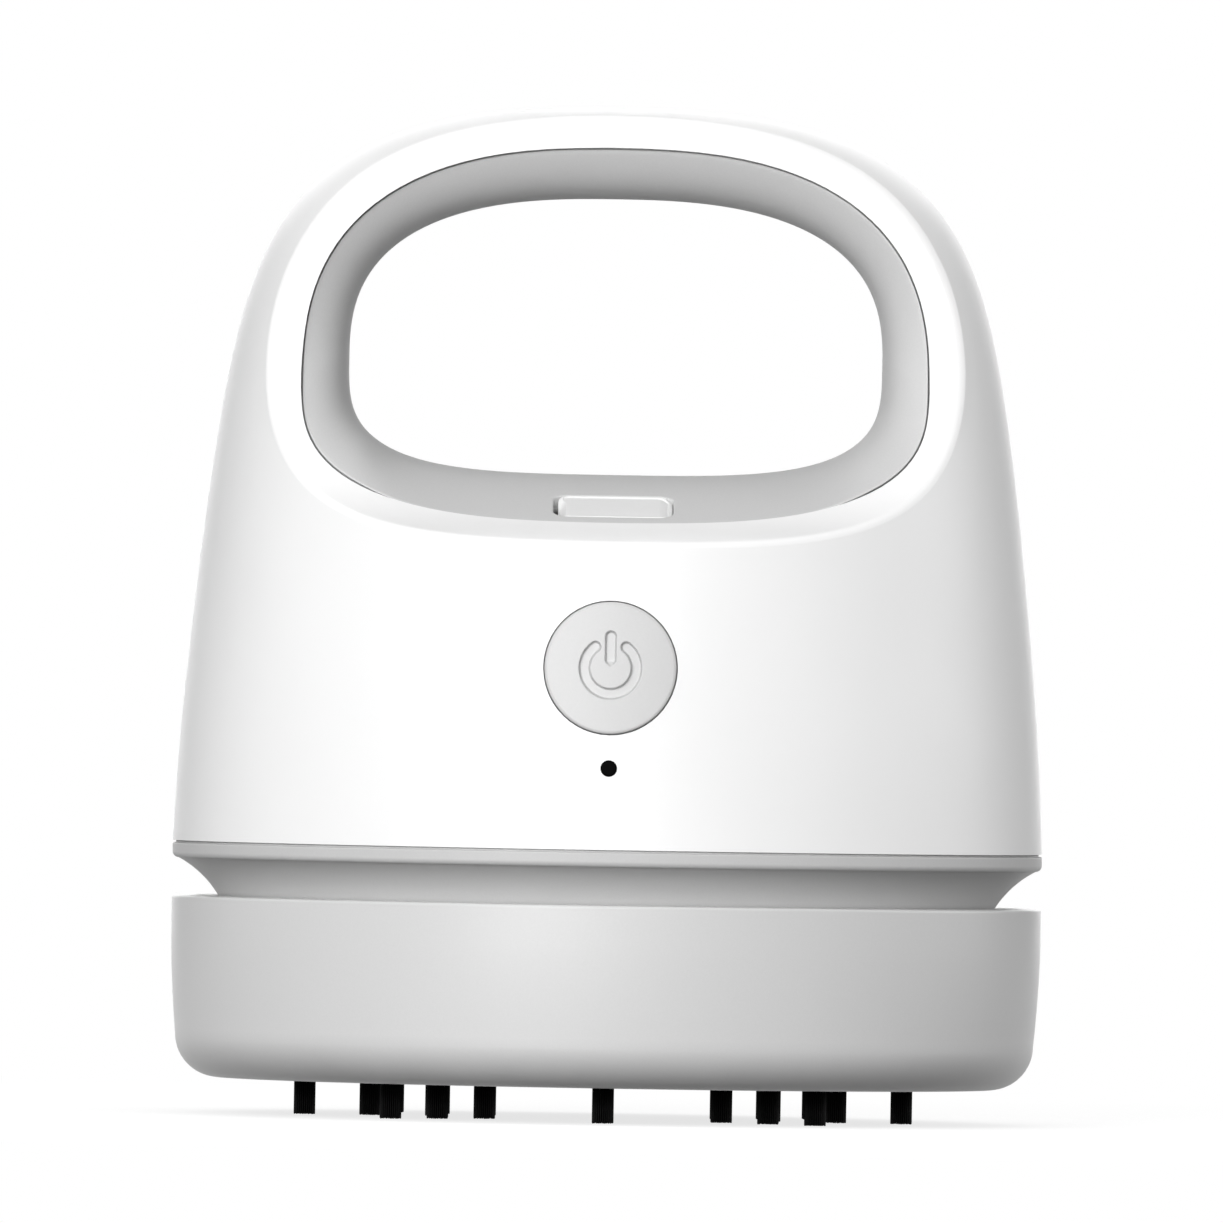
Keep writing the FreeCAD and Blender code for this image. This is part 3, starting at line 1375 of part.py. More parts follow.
def wire_tube(points):
    """A wire along straight runs joined by arcs as large as the runs allow."""
    edges = []
    last = points[0]
    for index in range(1, len(points) - 1):
        before, here, after = points[index - 1:index + 2]
        come = (here - before).normalize()
        leave = (after - here).normalize()
        turn = come.getAngle(leave)
        trim = 0.45 * min((here - before).Length, (after - here).Length)
        radius = trim / math.tan(turn / 2)
        start, finish = here - come * trim, here + leave * trim
        bisector = (leave - come).normalize()
        centre = here + bisector * (radius / math.cos(turn / 2))
        middle = centre - bisector * radius
        edges.append(Part.LineSegment(last, start).toShape())
        edges.append(Part.Arc(start, middle, finish).toShape())
        last = finish
    edges.append(Part.LineSegment(last, points[-1]).toShape())
    path = Part.Wire(edges)
    circle = Part.Circle(points[0], points[1] - points[0], size("wire_radius"))
    return path.makePipe(Part.Face(Part.Wire([circle.toShape()])))


def make_wires():
    """Leads from the motor's terminals and from the battery to the back of the board."""
    back = -level("board_back")
    rim = size("motor_radius")
    cap = level("motor_cap_top") + size("wire_radius") + 0.1
    motor = []
    battery = []
    for side in (-1, 1):
        x = side * (size("terminal_spread") / 2 + size("terminal_thickness") / 2 + size("wire_radius"))
        motor.append(wire_tube([
            Vector(x, 0, cap), Vector(x, -rim + 3, cap), Vector(x, -rim - 5, cap - 1.5),
            Vector(x, -rim - 10, cap - 6.5), Vector(x, -rim - 14, cap - 8), Vector(x, back, cap - 8)]))
        end = side * size("cell_length") / 2
        reach = level("cell_reach")
        z = level("cell_level")
        battery.append(wire_tube([
            Vector(end, reach, z), Vector(end + side * 3, reach, z),
            Vector(end + side * 5, reach - 9, z), Vector(end + side * 3, reach - 20, z),
            Vector(end, reach - 30, z), Vector(end - side * 7, reach - 40, z),
            Vector(end - side * 14, reach - 44, z), Vector(end - side * 14, back, z)]))
    return Part.makeCompound(motor), Part.makeCompound(battery)


# ---------------------------------------------------------------- build and write

def build():
    """Makes every sub-part."""
    keep_shape("upper_shell", make_upper_shell())
    front, rear = make_liners()
    keep_shape("front_liner", front)
    keep_shape("rear_liner", rear)
    keep_shape("port_cover", make_port_cover())
    keep_shape("power_button", make_power_button())
    keep_shape("indicator_lens", make_indicator_lens())
    keep_shape("filter_element", make_filter_element())
    keep_shape("charge_socket", make_charge_socket())
    make_chassis_ring()
    make_bin_seal()
    make_filter_frame()
    make_fan_housing()
    make_impeller()
    make_motor()
    make_battery()
    make_circuit_board()
    make_switch()
    make_dust_bin()
    make_bin_collar()
    make_brush_plate()
    make_bristles()
    make_inlet_baffle()
    make_screws()
    motor_leads, battery_leads = make_wires()
    keep_shape("motor_leads", motor_leads)
    keep_shape("battery_leads", battery_leads)


def check_and_write():
    """Stops on any failed object or shape, then writes one file for each sub-part."""
    doc.recompute()
    faults = []
    for item in doc.Objects:
        if "Invalid" in item.State or "Error" in item.State:
            faults.append(f"{item.Label}: {item.State}")
    for name, item in PARTS.items():
        if item.Shape.isNull() or not item.Shape.isValid() or not item.Shape.Solids:
            faults.append(f"{name}: bad shape")
    if faults:
        raise RuntimeError("; ".join(faults))
    os.makedirs("parts", exist_ok=True)
    for name, item in PARTS.items():
        item.Shape.exportStep(f"parts/{name}.step")
        print(f"{name:22s} solids {len(item.Shape.Solids):2d}  volume {item.Shape.Volume:10.2f}")


build()
check_and_write()
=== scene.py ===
"""Desktop mini vacuum cleaner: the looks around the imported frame.

Metres, +Z up, the front faces -Y, and the origin is the middle of the plane that the
bristle tips stand on. Each class below holds one sub-assembly's sizes and makes its pieces.
"""

import json
import logging
import math
from dataclasses import dataclass
from enum import Enum
from typing import Iterable, Sequence

import bmesh
import bpy
import numpy as np
from mathutils import Matrix, Vector

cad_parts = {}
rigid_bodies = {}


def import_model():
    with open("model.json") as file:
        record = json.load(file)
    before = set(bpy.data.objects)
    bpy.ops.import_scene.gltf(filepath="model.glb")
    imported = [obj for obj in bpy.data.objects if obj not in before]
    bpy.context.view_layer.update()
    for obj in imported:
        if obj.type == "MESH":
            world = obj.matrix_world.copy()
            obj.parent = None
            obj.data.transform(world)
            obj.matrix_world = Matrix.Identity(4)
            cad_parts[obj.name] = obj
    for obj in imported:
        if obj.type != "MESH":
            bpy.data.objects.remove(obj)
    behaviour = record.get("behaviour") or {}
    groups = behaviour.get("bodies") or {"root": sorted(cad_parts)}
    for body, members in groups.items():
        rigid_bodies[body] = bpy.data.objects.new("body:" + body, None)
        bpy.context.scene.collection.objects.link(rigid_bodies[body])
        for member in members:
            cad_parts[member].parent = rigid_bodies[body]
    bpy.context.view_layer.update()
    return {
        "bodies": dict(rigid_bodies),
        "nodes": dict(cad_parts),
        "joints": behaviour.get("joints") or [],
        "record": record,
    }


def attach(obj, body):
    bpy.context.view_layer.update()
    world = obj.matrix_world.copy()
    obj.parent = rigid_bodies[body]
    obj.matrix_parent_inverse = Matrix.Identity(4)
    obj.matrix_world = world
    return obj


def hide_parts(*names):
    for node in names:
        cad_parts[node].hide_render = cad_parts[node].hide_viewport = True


LOG = logging.getLogger("desk_vacuum")
MM = 0.001
WELD = 2e-7

Colour = tuple[float, float, float]
Place = tuple[float, float, float]


# ---------------------------------------------------------------- shader groups

class Effect(Enum):
    """Shader groups that several finishes share."""

    GRAIN = "moulded_grain"
    FLOW = "moulding_flow"
    DUST = "settled_dust"
    RUB = "edge_rub"
    STREAKS = "drawn_streaks"
    # Painted shade that darkens a wall towards the desk.
    PAINTED_FOOT_SHADE = "desk_grime"


@dataclass(frozen=True)
class Socket:
    """One named socket of a shader group.

    Attributes:
        name: Name shown on the group.
        kind: Blender's socket type.
        default: Value when nothing is plugged in, for inputs.
    """

    name: str
    kind: str = "NodeSocketFloat"
    default: float | Sequence[float] | None = None


class Wiring:
    """Small helper that places and links nodes in one node tree."""

    def __init__(self, tree: bpy.types.NodeTree) -> None:
        """Keeps the tree to work in.

        Args:
            tree: Node tree of a material, a world or a group.
        """
        self.tree = tree
        self.column = 0

    def node(self, kind: str, **settings: object) -> bpy.types.Node:
        """Adds a node and sets its plain properties.

        Args:
            kind: Blender's node identifier.
            **settings: Attributes of the node.

        Returns:
            The new node.
        """
        made = self.tree.nodes.new(kind)
        made.location = (220 * (self.column % 8), -240 * (self.column // 8))
        self.column += 1
        for name, setting in settings.items():
            setattr(made, name, setting)
        return made

    def link(self, start: bpy.types.NodeSocket, finish: bpy.types.NodeSocket) -> None:
        """Links two sockets."""
        self.tree.links.new(start, finish)

    def math(self, operation: str, first: object, second: object = None,
             clamp: bool = False) -> bpy.types.NodeSocket:
        """Adds a Math node.

        Args:
            operation: Name of the operation.
            first: Number or socket.
            second: Number or socket.
            clamp: Whether to keep the result within 0 and 1.

        Returns:
            The node's result.
        """
        made = self.node("ShaderNodeMath", operation=operation, use_clamp=clamp)
        for index, item in enumerate((first, second)):
            if isinstance(item, bpy.types.NodeSocket):
                self.link(item, made.inputs[index])
            elif item is not None:
                made.inputs[index].default_value = item
        return made.outputs[0]

    def noise(self, vector: bpy.types.NodeSocket, scale: object, detail: float = 3.0,
              roughness: float = 0.5) -> bpy.types.NodeSocket:
        """Adds a Noise Texture and gives its value.

        Args:
            vector: Coordinates.
            scale: Number or socket, features per metre.
            detail: Octaves.
            roughness: Strength of the finer octaves.

        Returns:
            The texture's value.
        """
        made = self.node("ShaderNodeTexNoise")
        self.link(vector, made.inputs["Vector"])
        if isinstance(scale, bpy.types.NodeSocket):
            self.link(scale, made.inputs["Scale"])
        else:
            made.inputs["Scale"].default_value = scale
        made.inputs["Detail"].default_value = detail
        made.inputs["Roughness"].default_value = roughness
        return made.outputs["Fac"]

    def span(self, value: bpy.types.NodeSocket, low: float, high: float,
             to_low: float, to_high: float) -> bpy.types.NodeSocket:
        """Maps a span of values onto another, held within it.

        Args:
            value: The value.
            low: Value that gives to_low.
            high: Value that gives to_high.
            to_low: Result at low.
            to_high: Result at high.

        Returns:
            The mapped value.
        """
        made = self.node("ShaderNodeMapRange", clamp=True)
        self.link(value, made.inputs["Value"])
        for name, number in zip(("From Min", "From Max", "To Min", "To Max"), (low, high, to_low, to_high)):
            made.inputs[name].default_value = number
        return made.outputs["Result"]

    def blend(self, share: object, first: object, second: object) -> bpy.types.NodeSocket:
        """Mixes two colours.

        Args:
            share: Number or socket, 0 for the first and 1 for the second.
            first: Colour or socket.
            second: Colour or socket.

        Returns:
            The mixed colour.
        """
        made = self.node("ShaderNodeMix", data_type="RGBA")
        for name, item in (("Factor_Float", share), ("A_Color", first), ("B_Color", second)):
            socket = next(s for s in made.inputs if s.identifier == name)
            if isinstance(item, bpy.types.NodeSocket):
                self.link(item, socket)
            elif isinstance(item, (int, float)):
                socket.default_value = item
            else:
                socket.default_value = (*item, 1.0)
        return next(s for s in made.outputs if s.identifier == "Result_Color")

    def mix_shaders(self, share: bpy.types.NodeSocket, first: bpy.types.NodeSocket,
                    second: bpy.types.NodeSocket) -> bpy.types.NodeSocket:
        """Mixes two shaders.

        Args:
            share: 0 for the first and 1 for the second.
            first: Shader.
            second: Shader.

        Returns:
            The mixed shader.
        """
        made = self.node("ShaderNodeMixShader")
        for item, socket in zip((share, first, second), made.inputs):
            self.link(item, socket)
        return made.outputs[0]


def fresh_wiring(owner: bpy.types.Material | bpy.types.World) -> Wiring:
    """Empties the node tree of a material or a world.

    Args:
        owner: The material or world.

    Returns:
        The tree's wiring.
    """
    owner.use_nodes = True
    owner.node_tree.nodes.clear()
    return Wiring(owner.node_tree)


def new_group(effect: Effect, inputs: Iterable[Socket], outputs: Iterable[Socket]
              ) -> tuple[Wiring, bpy.types.Node, bpy.types.Node]:
    """Starts a shader group with named sockets.

    Args:
        effect: Which effect it holds.
        inputs: Its inputs.
        outputs: Its outputs.

    Returns:
        The wiring of the group, its input node and its output node.
    """
    tree = bpy.data.node_groups.new(effect.value, "ShaderNodeTree")
    for direction, sockets in (("INPUT", inputs), ("OUTPUT", outputs)):
        for item in sockets:
            made = tree.interface.new_socket(item.name, in_out=direction, socket_type=item.kind)
            if item.default is not None:
                made.default_value = item.default
    wiring = Wiring(tree)
    return wiring, wiring.node("NodeGroupInput"), wiring.node("NodeGroupOutput")


def make_grain_group() -> None:
    """Fine moulded grain: two sizes of noise, as a height and as a mask.

    height = 0.65 noise(scale) + 0.35 noise(2.7 scale)
    """
    wiring, given, result = new_group(
        Effect.GRAIN,
        [Socket("Vector", "NodeSocketVector"), Socket("Scale", default=2500.0)],
        [Socket("Height"), Socket("Mask")])
    coarse = wiring.noise(given.outputs["Vector"], given.outputs["Scale"], 2.0)
    finer = wiring.math("MULTIPLY", given.outputs["Scale"], 2.7)
    fine = wiring.noise(given.outputs["Vector"], finer, 2.0)
    height = wiring.math("ADD", wiring.math("MULTIPLY", coarse, 0.65), wiring.math("MULTIPLY", fine, 0.35))
    wiring.link(height, result.inputs["Height"])
    wiring.link(wiring.span(height, 0.35, 0.65, 0.0, 1.0), result.inputs["Mask"])


def make_flow_group() -> None:
    """Slow change of tone that moulded plastic shows over centimetres."""
    wiring, given, result = new_group(
        Effect.FLOW,
        [Socket("Vector", "NodeSocketVector"), Socket("Scale", default=40.0), Socket("Amount", default=0.02),
         Socket("Colour", "NodeSocketColor", (0.8, 0.8, 0.8, 1.0))],
        [Socket("Colour", "NodeSocketColor"), Socket("Mask")])
    slow = wiring.noise(given.outputs["Vector"], given.outputs["Scale"], 2.0)
    mask = wiring.span(slow, 0.3, 0.7, 0.0, 1.0)
    share = wiring.math("MULTIPLY", mask, given.outputs["Amount"])
    colour = wiring.blend(share, given.outputs["Colour"], (0.0, 0.0, 0.0))
    wiring.link(colour, result.inputs["Colour"])
    wiring.link(mask, result.inputs["Mask"])


def make_dust_group() -> None:
    """A trace of dust on faces that look up, as a mask.

    mask = amount * smooth(normal.z) * noise
    """
    wiring, given, result = new_group(
        Effect.DUST,
        [Socket("Vector", "NodeSocketVector"), Socket("Scale", default=900.0), Socket("Amount", default=0.1)],
        [Socket("Mask")])
    facing = wiring.node("ShaderNodeNewGeometry")
    parts = wiring.node("ShaderNodeSeparateXYZ")
    wiring.link(facing.outputs["Normal"], parts.inputs[0])
    upward = wiring.span(parts.outputs["Z"], 0.35, 0.95, 0.0, 1.0)
    cloud = wiring.noise(given.outputs["Vector"], given.outputs["Scale"], 4.0, 0.6)
    specks = wiring.span(cloud, 0.45, 0.75, 0.0, 1.0)
    mask = wiring.math("MULTIPLY", wiring.math("MULTIPLY", upward, specks), given.outputs["Amount"])
    wiring.link(mask, result.inputs["Mask"])


def make_rub_group() -> None:
    """Edges that hands and desks have rubbed, as a mask from how sharply the surface turns."""
    wiring, given, result = new_group(
        Effect.RUB,
        [Socket("Vector", "NodeSocketVector"), Socket("Amount", default=0.2)],
        [Socket("Mask")])
    shape = wiring.node("ShaderNodeNewGeometry")
    edge = wiring.span(shape.outputs["Pointiness"], 0.515, 0.60, 0.0, 1.0)
    broken = wiring.span(wiring.noise(given.outputs["Vector"], 700.0, 4.0, 0.6), 0.35, 0.65, 0.3, 1.0)
    mask = wiring.math("MULTIPLY", wiring.math("MULTIPLY", edge, broken), given.outputs["Amount"])
    wiring.link(mask, result.inputs["Mask"])


def make_foot_shade_group() -> None:
    """Painted shade that darkens a wall close to the desk, as a mask.

    mask = amount * (smooth fall of the height from low + reach to low) * (0.85 to 1 of a slow noise)
    """
    wiring, given, result = new_group(
        Effect.PAINTED_FOOT_SHADE,
        [Socket("Vector", "NodeSocketVector"), Socket("Low", default=0.0036), Socket("Reach", default=0.005),
         Socket("Amount", default=0.3)],
        [Socket("Mask")])
    parts = wiring.node("ShaderNodeSeparateXYZ")
    wiring.link(given.outputs["Vector"], parts.inputs[0])
    above = wiring.math("SUBTRACT", parts.outputs["Z"], given.outputs["Low"])
    share = wiring.math("SUBTRACT", 1.0, wiring.math("DIVIDE", above, given.outputs["Reach"]), clamp=True)
    cloud = wiring.span(wiring.noise(given.outputs["Vector"], 120.0, 3.0), 0.3, 0.7, 0.85, 1.0)
    mask = wiring.math("MULTIPLY", wiring.math("MULTIPLY", share, cloud), given.outputs["Amount"])
    wiring.link(mask, result.inputs["Mask"])


def make_streaks_group() -> None:
    """Fine lines left by drawing or turning metal, stretched along one axis."""
    wiring, given, result = new_group(
        Effect.STREAKS,
        [Socket("Vector", "NodeSocketVector"), Socket("Scale", default=4000.0)],
        [Socket("Height"), Socket("Mask")])
    stretch = wiring.node("ShaderNodeMapping")
    stretch.inputs["Scale"].default_value = (1.0, 1.0, 0.03)
    wiring.link(given.outputs["Vector"], stretch.inputs["Vector"])
    lines = wiring.noise(stretch.outputs["Vector"], given.outputs["Scale"], 3.0, 0.6)
    wiring.link(lines, result.inputs["Height"])
    wiring.link(wiring.span(lines, 0.35, 0.65, 0.0, 1.0), result.inputs["Mask"])


# ---------------------------------------------------------------- finishes

FLOW_AMOUNT = 0.025
GRAIN_SHADE = 0.55
# Colour at the foot under the painted shade, as a share.
FOOT_SHADE_TONE = 0.08
DUST_TONE: Colour = (0.62, 0.60, 0.56)


def grey(level: float) -> Colour:
    """Neutral colour of one level."""
    return (level, level, level)


def tint(colour: Colour, share: float, lift: float = 0.0) -> Colour:
    """Each part of a colour becomes lift + share * part, held below 1."""
    return tuple(min(1.0, lift + share * part) for part in colour)


@dataclass(frozen=True)
class Plastic:
    """Moulded plastic, rubber or wrap: an even colour under grain, dust and rubbed edges, with painted shade
    at the foot where asked for.

    Attributes:
        name: Name of the material.
        colour: Base colour, linear.
        roughness: Mean roughness.
        grain_scale: Grain features per metre.
        grain_depth: Height of the grain, metres.
        grain_tone: How much the grain darkens the colour.
        specular: Specular level on the shader.
        coat: Weight of a clear gloss over it.
        dust: Share of dust on top faces.
        rub: Share of wear on edges.
        foot_shade: Share of painted shade at the foot, darkening the wall towards the desk.
    """

    name: str
    colour: Colour
    roughness: float = 0.4
    grain_scale: float = 2500.0
    grain_depth: float = 4e-6
    grain_tone: float = 0.0
    specular: float = 0.5
    coat: float = 0.0
    dust: float = 0.05
    rub: float = 0.1
    foot_shade: float = 0.0

    def build(self) -> bpy.types.Material:
        """Makes the material.

        Returns:
            The new material.
        """
        wiring, shader, place = new_material(self.name)
        grain = effect_node(wiring, Effect.GRAIN, place, Scale=self.grain_scale)
        flow = effect_node(wiring, Effect.FLOW, place, Colour=(*self.colour, 1.0), Amount=FLOW_AMOUNT)
        dust = effect_node(wiring, Effect.DUST, place, Amount=self.dust)
        rub = effect_node(wiring, Effect.RUB, place, Amount=self.rub)
        toned = wiring.blend(wiring.math("MULTIPLY", grain.outputs["Mask"], self.grain_tone),
                             flow.outputs["Colour"], tint(self.colour, GRAIN_SHADE))
        dusty = wiring.blend(dust.outputs["Mask"], toned, DUST_TONE)
        colour = wiring.blend(rub.outputs["Mask"], dusty, tint(self.colour, 0.7, 0.35))
        # Painted shade: the colour darkens towards the desk at the wall's foot.
        if self.foot_shade > 0:
            foot_shade_mask = effect_node(wiring, Effect.PAINTED_FOOT_SHADE, place, Amount=self.foot_shade)
            colour = wiring.blend(foot_shade_mask.outputs["Mask"], colour, tint(self.colour, FOOT_SHADE_TONE))
        wiring.link(colour, shader.inputs["Base Color"])
        matt = wiring.math("ADD", self.roughness - 0.03, wiring.math("MULTIPLY", flow.outputs["Mask"], 0.06))
        matt = wiring.math("ADD", matt, wiring.math("MULTIPLY", dust.outputs["Mask"], 0.3), clamp=True)
        wiring.link(matt, shader.inputs["Roughness"])
        add_bump(wiring, shader, grain.outputs["Height"], self.grain_depth)
        shader.inputs["Specular IOR Level"].default_value = self.specular
        shader.inputs["Coat Weight"].default_value = self.coat
        shader.inputs["Coat Roughness"].default_value = 0.12
        return bpy.data.materials[self.name]


@dataclass(frozen=True)
class Metal:
    """Drawn, stamped or turned metal.

    Attributes:
        name: Name of the material.
        colour: Base colour, linear.
        roughness: Mean roughness.
        streak_scale: Lines per metre.
    """

    name: str
    colour: Colour
    roughness: float = 0.3
    streak_scale: float = 5000.0

    def build(self) -> bpy.types.Material:
        """Makes the material.

        Returns:
            The new material.
        """
        wiring, shader, place = new_material(self.name)
        streaks = effect_node(wiring, Effect.STREAKS, place, Scale=self.streak_scale)
        flow = effect_node(wiring, Effect.FLOW, place, Colour=(*self.colour, 1.0), Amount=0.08)
        rub = effect_node(wiring, Effect.RUB, place, Amount=0.3)
        colour = wiring.blend(rub.outputs["Mask"], flow.outputs["Colour"], tint(self.colour, 1.15))
        wiring.link(colour, shader.inputs["Base Color"])
        matt = wiring.math("ADD", self.roughness, wiring.math("MULTIPLY", streaks.outputs["Mask"], 0.12))
        wiring.link(matt, shader.inputs["Roughness"])
        add_bump(wiring, shader, streaks.outputs["Height"], 2e-6)
        shader.inputs["Metallic"].default_value = 1.0
        return bpy.data.materials[self.name]


@dataclass(frozen=True)
class Pleats:
    """Filter paper: fibres in two sizes over a matt sheet.

    Attributes:
        name: Name of the material.
        colour: Base colour, linear.
    """

    name: str
    colour: Colour

    def build(self) -> bpy.types.Material:
        """Makes the material.

        Returns:
            The new material.
        """
        wiring, shader, place = new_material(self.name)
        grain = effect_node(wiring, Effect.GRAIN, place, Scale=3500.0)
        flow = effect_node(wiring, Effect.FLOW, place, Colour=(*self.colour, 1.0), Scale=300.0, Amount=0.12)
        colour = wiring.blend(wiring.math("MULTIPLY", grain.outputs["Mask"], 0.25), flow.outputs["Colour"],
                              tint(self.colour, 0.8))
        wiring.link(colour, shader.inputs["Base Color"])
        shader.inputs["Roughness"].default_value = 0.95
        shader.inputs["Sheen Weight"].default_value = 0.2
        add_bump(wiring, shader, grain.outputs["Height"], 3e-5)
        return bpy.data.materials[self.name]


def new_material(name: str) -> tuple[Wiring, bpy.types.Node, bpy.types.NodeSocket]:
    """Starts a material with its shader, its output and object coordinates.

    Args:
        name: Name of the material.

    Returns:
        The wiring, the shader node and the object coordinates.
    """
    wiring = fresh_wiring(bpy.data.materials.new(name))
    shader = wiring.node("ShaderNodeBsdfPrincipled")
    output = wiring.node("ShaderNodeOutputMaterial")
    wiring.link(shader.outputs["BSDF"], output.inputs["Surface"])
    return wiring, shader, wiring.node("ShaderNodeTexCoord").outputs["Object"]


def effect_node(wiring: Wiring, effect: Effect, place: bpy.types.NodeSocket,
                **values: float | Sequence[float]) -> bpy.types.Node:
    """Puts a shared effect into a material with its own values.

    Args:
        wiring: Wiring of the material.
        effect: Which effect.
        place: Coordinates.
        **values: Values of the group's inputs.

    Returns:
        The group node.
    """
    made = wiring.node("ShaderNodeGroup", node_tree=bpy.data.node_groups[effect.value])
    wiring.link(place, made.inputs["Vector"])
    for name, number in values.items():
        made.inputs[name].default_value = number
    return made


def add_bump(wiring: Wiring, shader: bpy.types.Node, height: bpy.types.NodeSocket, depth: float) -> None:
    """Turns a height into the shader's normal.

    Args:
        wiring: Wiring of the material.
        shader: The shader.
        height: Height from 0 to 1.
        depth: Real height of the grain, metres.
    """
    bump = wiring.node("ShaderNodeBump")
    bump.inputs["Strength"].default_value = 1.0
    bump.inputs["Distance"].default_value = depth
    wiring.link(height, bump.inputs["Height"])
    wiring.link(bump.outputs["Normal"], shader.inputs["Normal"])


# Plastic: name, colour, roughness, grain per metre, its depth and tone, specular, coat, dust, rub, painted
# foot shade.
FINISHES: dict[str, Plastic | Metal | Pleats] = {
    "white_shell": Plastic("satin_white_shell", grey(0.86), 0.42, 1800.0, 2e-6, 0.0, 0.5, 0.0, 0.03, 0.0),
    # The cup's last value, 0.45, paints shade on its wall towards the desk.
    "bin_grey": Plastic("satin_grey_cup", grey(0.62), 0.36, 5200.0, 6e-6, 0.06, 0.35, 0.0, 0.0, 0.0, 0.45),
    "plate_grey": Plastic("satin_grey_plate", grey(0.60), 0.42, 5200.0, 6e-6, 0.06, 0.45, 0.0, 0.0, 0.03),
    "grey_trim": Plastic("satin_grey_lining", grey(0.585), 0.7, 5200.0, 9e-6, 0.08, 0.1, 0.0, 0.0, 0.0),
    "waist_grey": Plastic("grained_grey_waist", grey(0.54), 0.5, 5200.0, 9e-6, 0.08, 0.3, 0.0, 0.0, 0.03),
    "button_grey": Plastic("satin_grey_button", grey(0.58), 0.42, 4200.0, 4e-6, 0.05, 0.45, 0.0, 0.02, 0.05),
    "cover_grey": Plastic("silicone_cover", grey(0.77), 0.55, 3800.0, 4e-6, 0.04, 0.4, 0.0, 0.05, 0.05),
    "lens_black": Plastic("smoked_lens", grey(0.001), 0.45, 1500.0, 1e-6, 0.0, 0.02, 0.0, 0.0, 0.0),
    "bristle_black": Plastic("nylon_bristle", grey(0.002), 0.45, 6000.0, 4e-6, 0.3, 0.05, 0.0, 0.0, 0.0),
    "inner_white": Plastic("natural_moulding", (0.66, 0.66, 0.655), 0.5, 3000.0, 5e-6, 0.04, 0.4, 0.0, 0.0,
                           0.05),
    "seal_rubber": Plastic("seal_rubber", (0.02, 0.02, 0.021), 0.62, 4500.0, 6e-6, 0.2, 0.4, 0.0, 0.02, 0.1),
    "filter_paper": Pleats("pleated_paper", (0.82, 0.81, 0.76)),
    "filter_rim": Plastic("filter_rim", (0.055, 0.062, 0.075), 0.5, 3200.0, 6e-6, 0.1, 0.4, 0.0, 0.04, 0.08),
    "motor_steel": Metal("plated_can", (0.55, 0.55, 0.56), 0.28),
    "motor_nylon": Plastic("motor_nylon", grey(0.02), 0.5, 3200.0, 5e-6, 0.1, 0.4, 0.0, 0.02, 0.05),
    "contact_brass": Metal("stamped_brass", (0.66, 0.47, 0.17), 0.25),
    "cell_wrap": Plastic("cell_sleeve", (0.022, 0.10, 0.24), 0.3, 1600.0, 3e-6, 0.0, 0.5, 0.3, 0.02, 0.0),
    "board_green": Plastic("solder_mask", (0.01, 0.085, 0.03), 0.3, 900.0, 8e-6, 0.25, 0.5, 0.3, 0.03, 0.1),
    "switch_black": Plastic("switch_moulding", grey(0.015), 0.45, 3600.0, 4e-6, 0.1, 0.4, 0.0, 0.02, 0.05),
    "led_body": Plastic("led_epoxy", (0.78, 0.74, 0.50), 0.18, 1500.0, 1e-6, 0.0, 0.5, 0.4, 0.0, 0.0),
    "socket_steel": Metal("drawn_socket", (0.60, 0.60, 0.61), 0.22),
    "screw_steel": Metal("zinc_screw", (0.44, 0.44, 0.45), 0.32),
    "wire_sleeve": Plastic("wire_sleeve", (0.30, 0.008, 0.006), 0.4, 2600.0, 4e-6, 0.05, 0.4, 0.0, 0.02, 0.0),
}


def make_finishes() -> dict[str, bpy.types.Material]:
    """Builds the shared groups and one material for every slot of the record and every own finish.

    Returns:
        Material by the name of its slot or finish.
    """
    for make in (make_grain_group, make_flow_group, make_dust_group, make_rub_group, make_streaks_group,
                 make_foot_shade_group):
        make()
    return {slot: finish.build() for slot, finish in FINISHES.items()}


# ---------------------------------------------------------------- surfaces

def grid_faces(rows: int, columns: int, close_rows: bool, close_columns: bool) -> np.ndarray:
    """Quads between neighbouring points of a grid.

    Args:
        rows: Points along the first way.
        columns: Points along the second way.
        close_rows: Whether the last row joins the first.
        close_columns: Whether the last column joins the first.

    Returns:
        Vertex numbers, one quad a line.
    """
    row = np.arange(rows if close_rows else rows - 1)[:, None]
    column = np.arange(columns if close_columns else columns - 1)[None, :]
    below, right = (row + 1) % rows, (column + 1) % columns
    corners = [row * columns + column, row * columns + right,
               below * columns + right, below * columns + column]
    return np.stack(np.broadcast_arrays(*corners), -1).reshape(-1, 4)


@dataclass(frozen=True)
class Patch:
    """One grid surface, a part of a piece.

    Attributes:
        points: Points, millimetres, one a line.
        quads: Vertex numbers, one quad a line.
    """

    points: np.ndarray
    quads: np.ndarray

    @classmethod
    def grid(cls, points: np.ndarray, close_rows: bool = False, close_columns: bool = False,
             keep: np.ndarray | None = None) -> "Patch":
        """A patch over a grid of points.

        Args:
            points: Rows by columns by three.
            close_rows: Whether the last row joins the first.
            close_columns: Whether the last column joins the first.
            keep: For each quad, whether it is made.

        Returns:
            The patch.
        """
        quads = grid_faces(*points.shape[:2], close_rows, close_columns)
        if keep is not None:
            quads = quads[keep.reshape(-1)]
        return cls(points.reshape(-1, 3), quads)

    def mirrored(self) -> "Patch":
        """The patch behind the middle plane, as in a mirror."""
        return Patch(self.points * (1.0, -1.0, 1.0), self.quads[:, ::-1])

    def moved(self, x: float = 0.0, y: float = 0.0, z: float = 0.0) -> "Patch":
        """The patch moved."""
        return Patch(self.points + (x, y, z), self.quads)

    def forward(self) -> "Patch":
        """The patch with its Z laid along -Y and its Y along Z, for shapes turned about a level axis."""
        return Patch(self.points[:, [0, 2, 1]] * (1.0, -1.0, 1.0), self.quads)


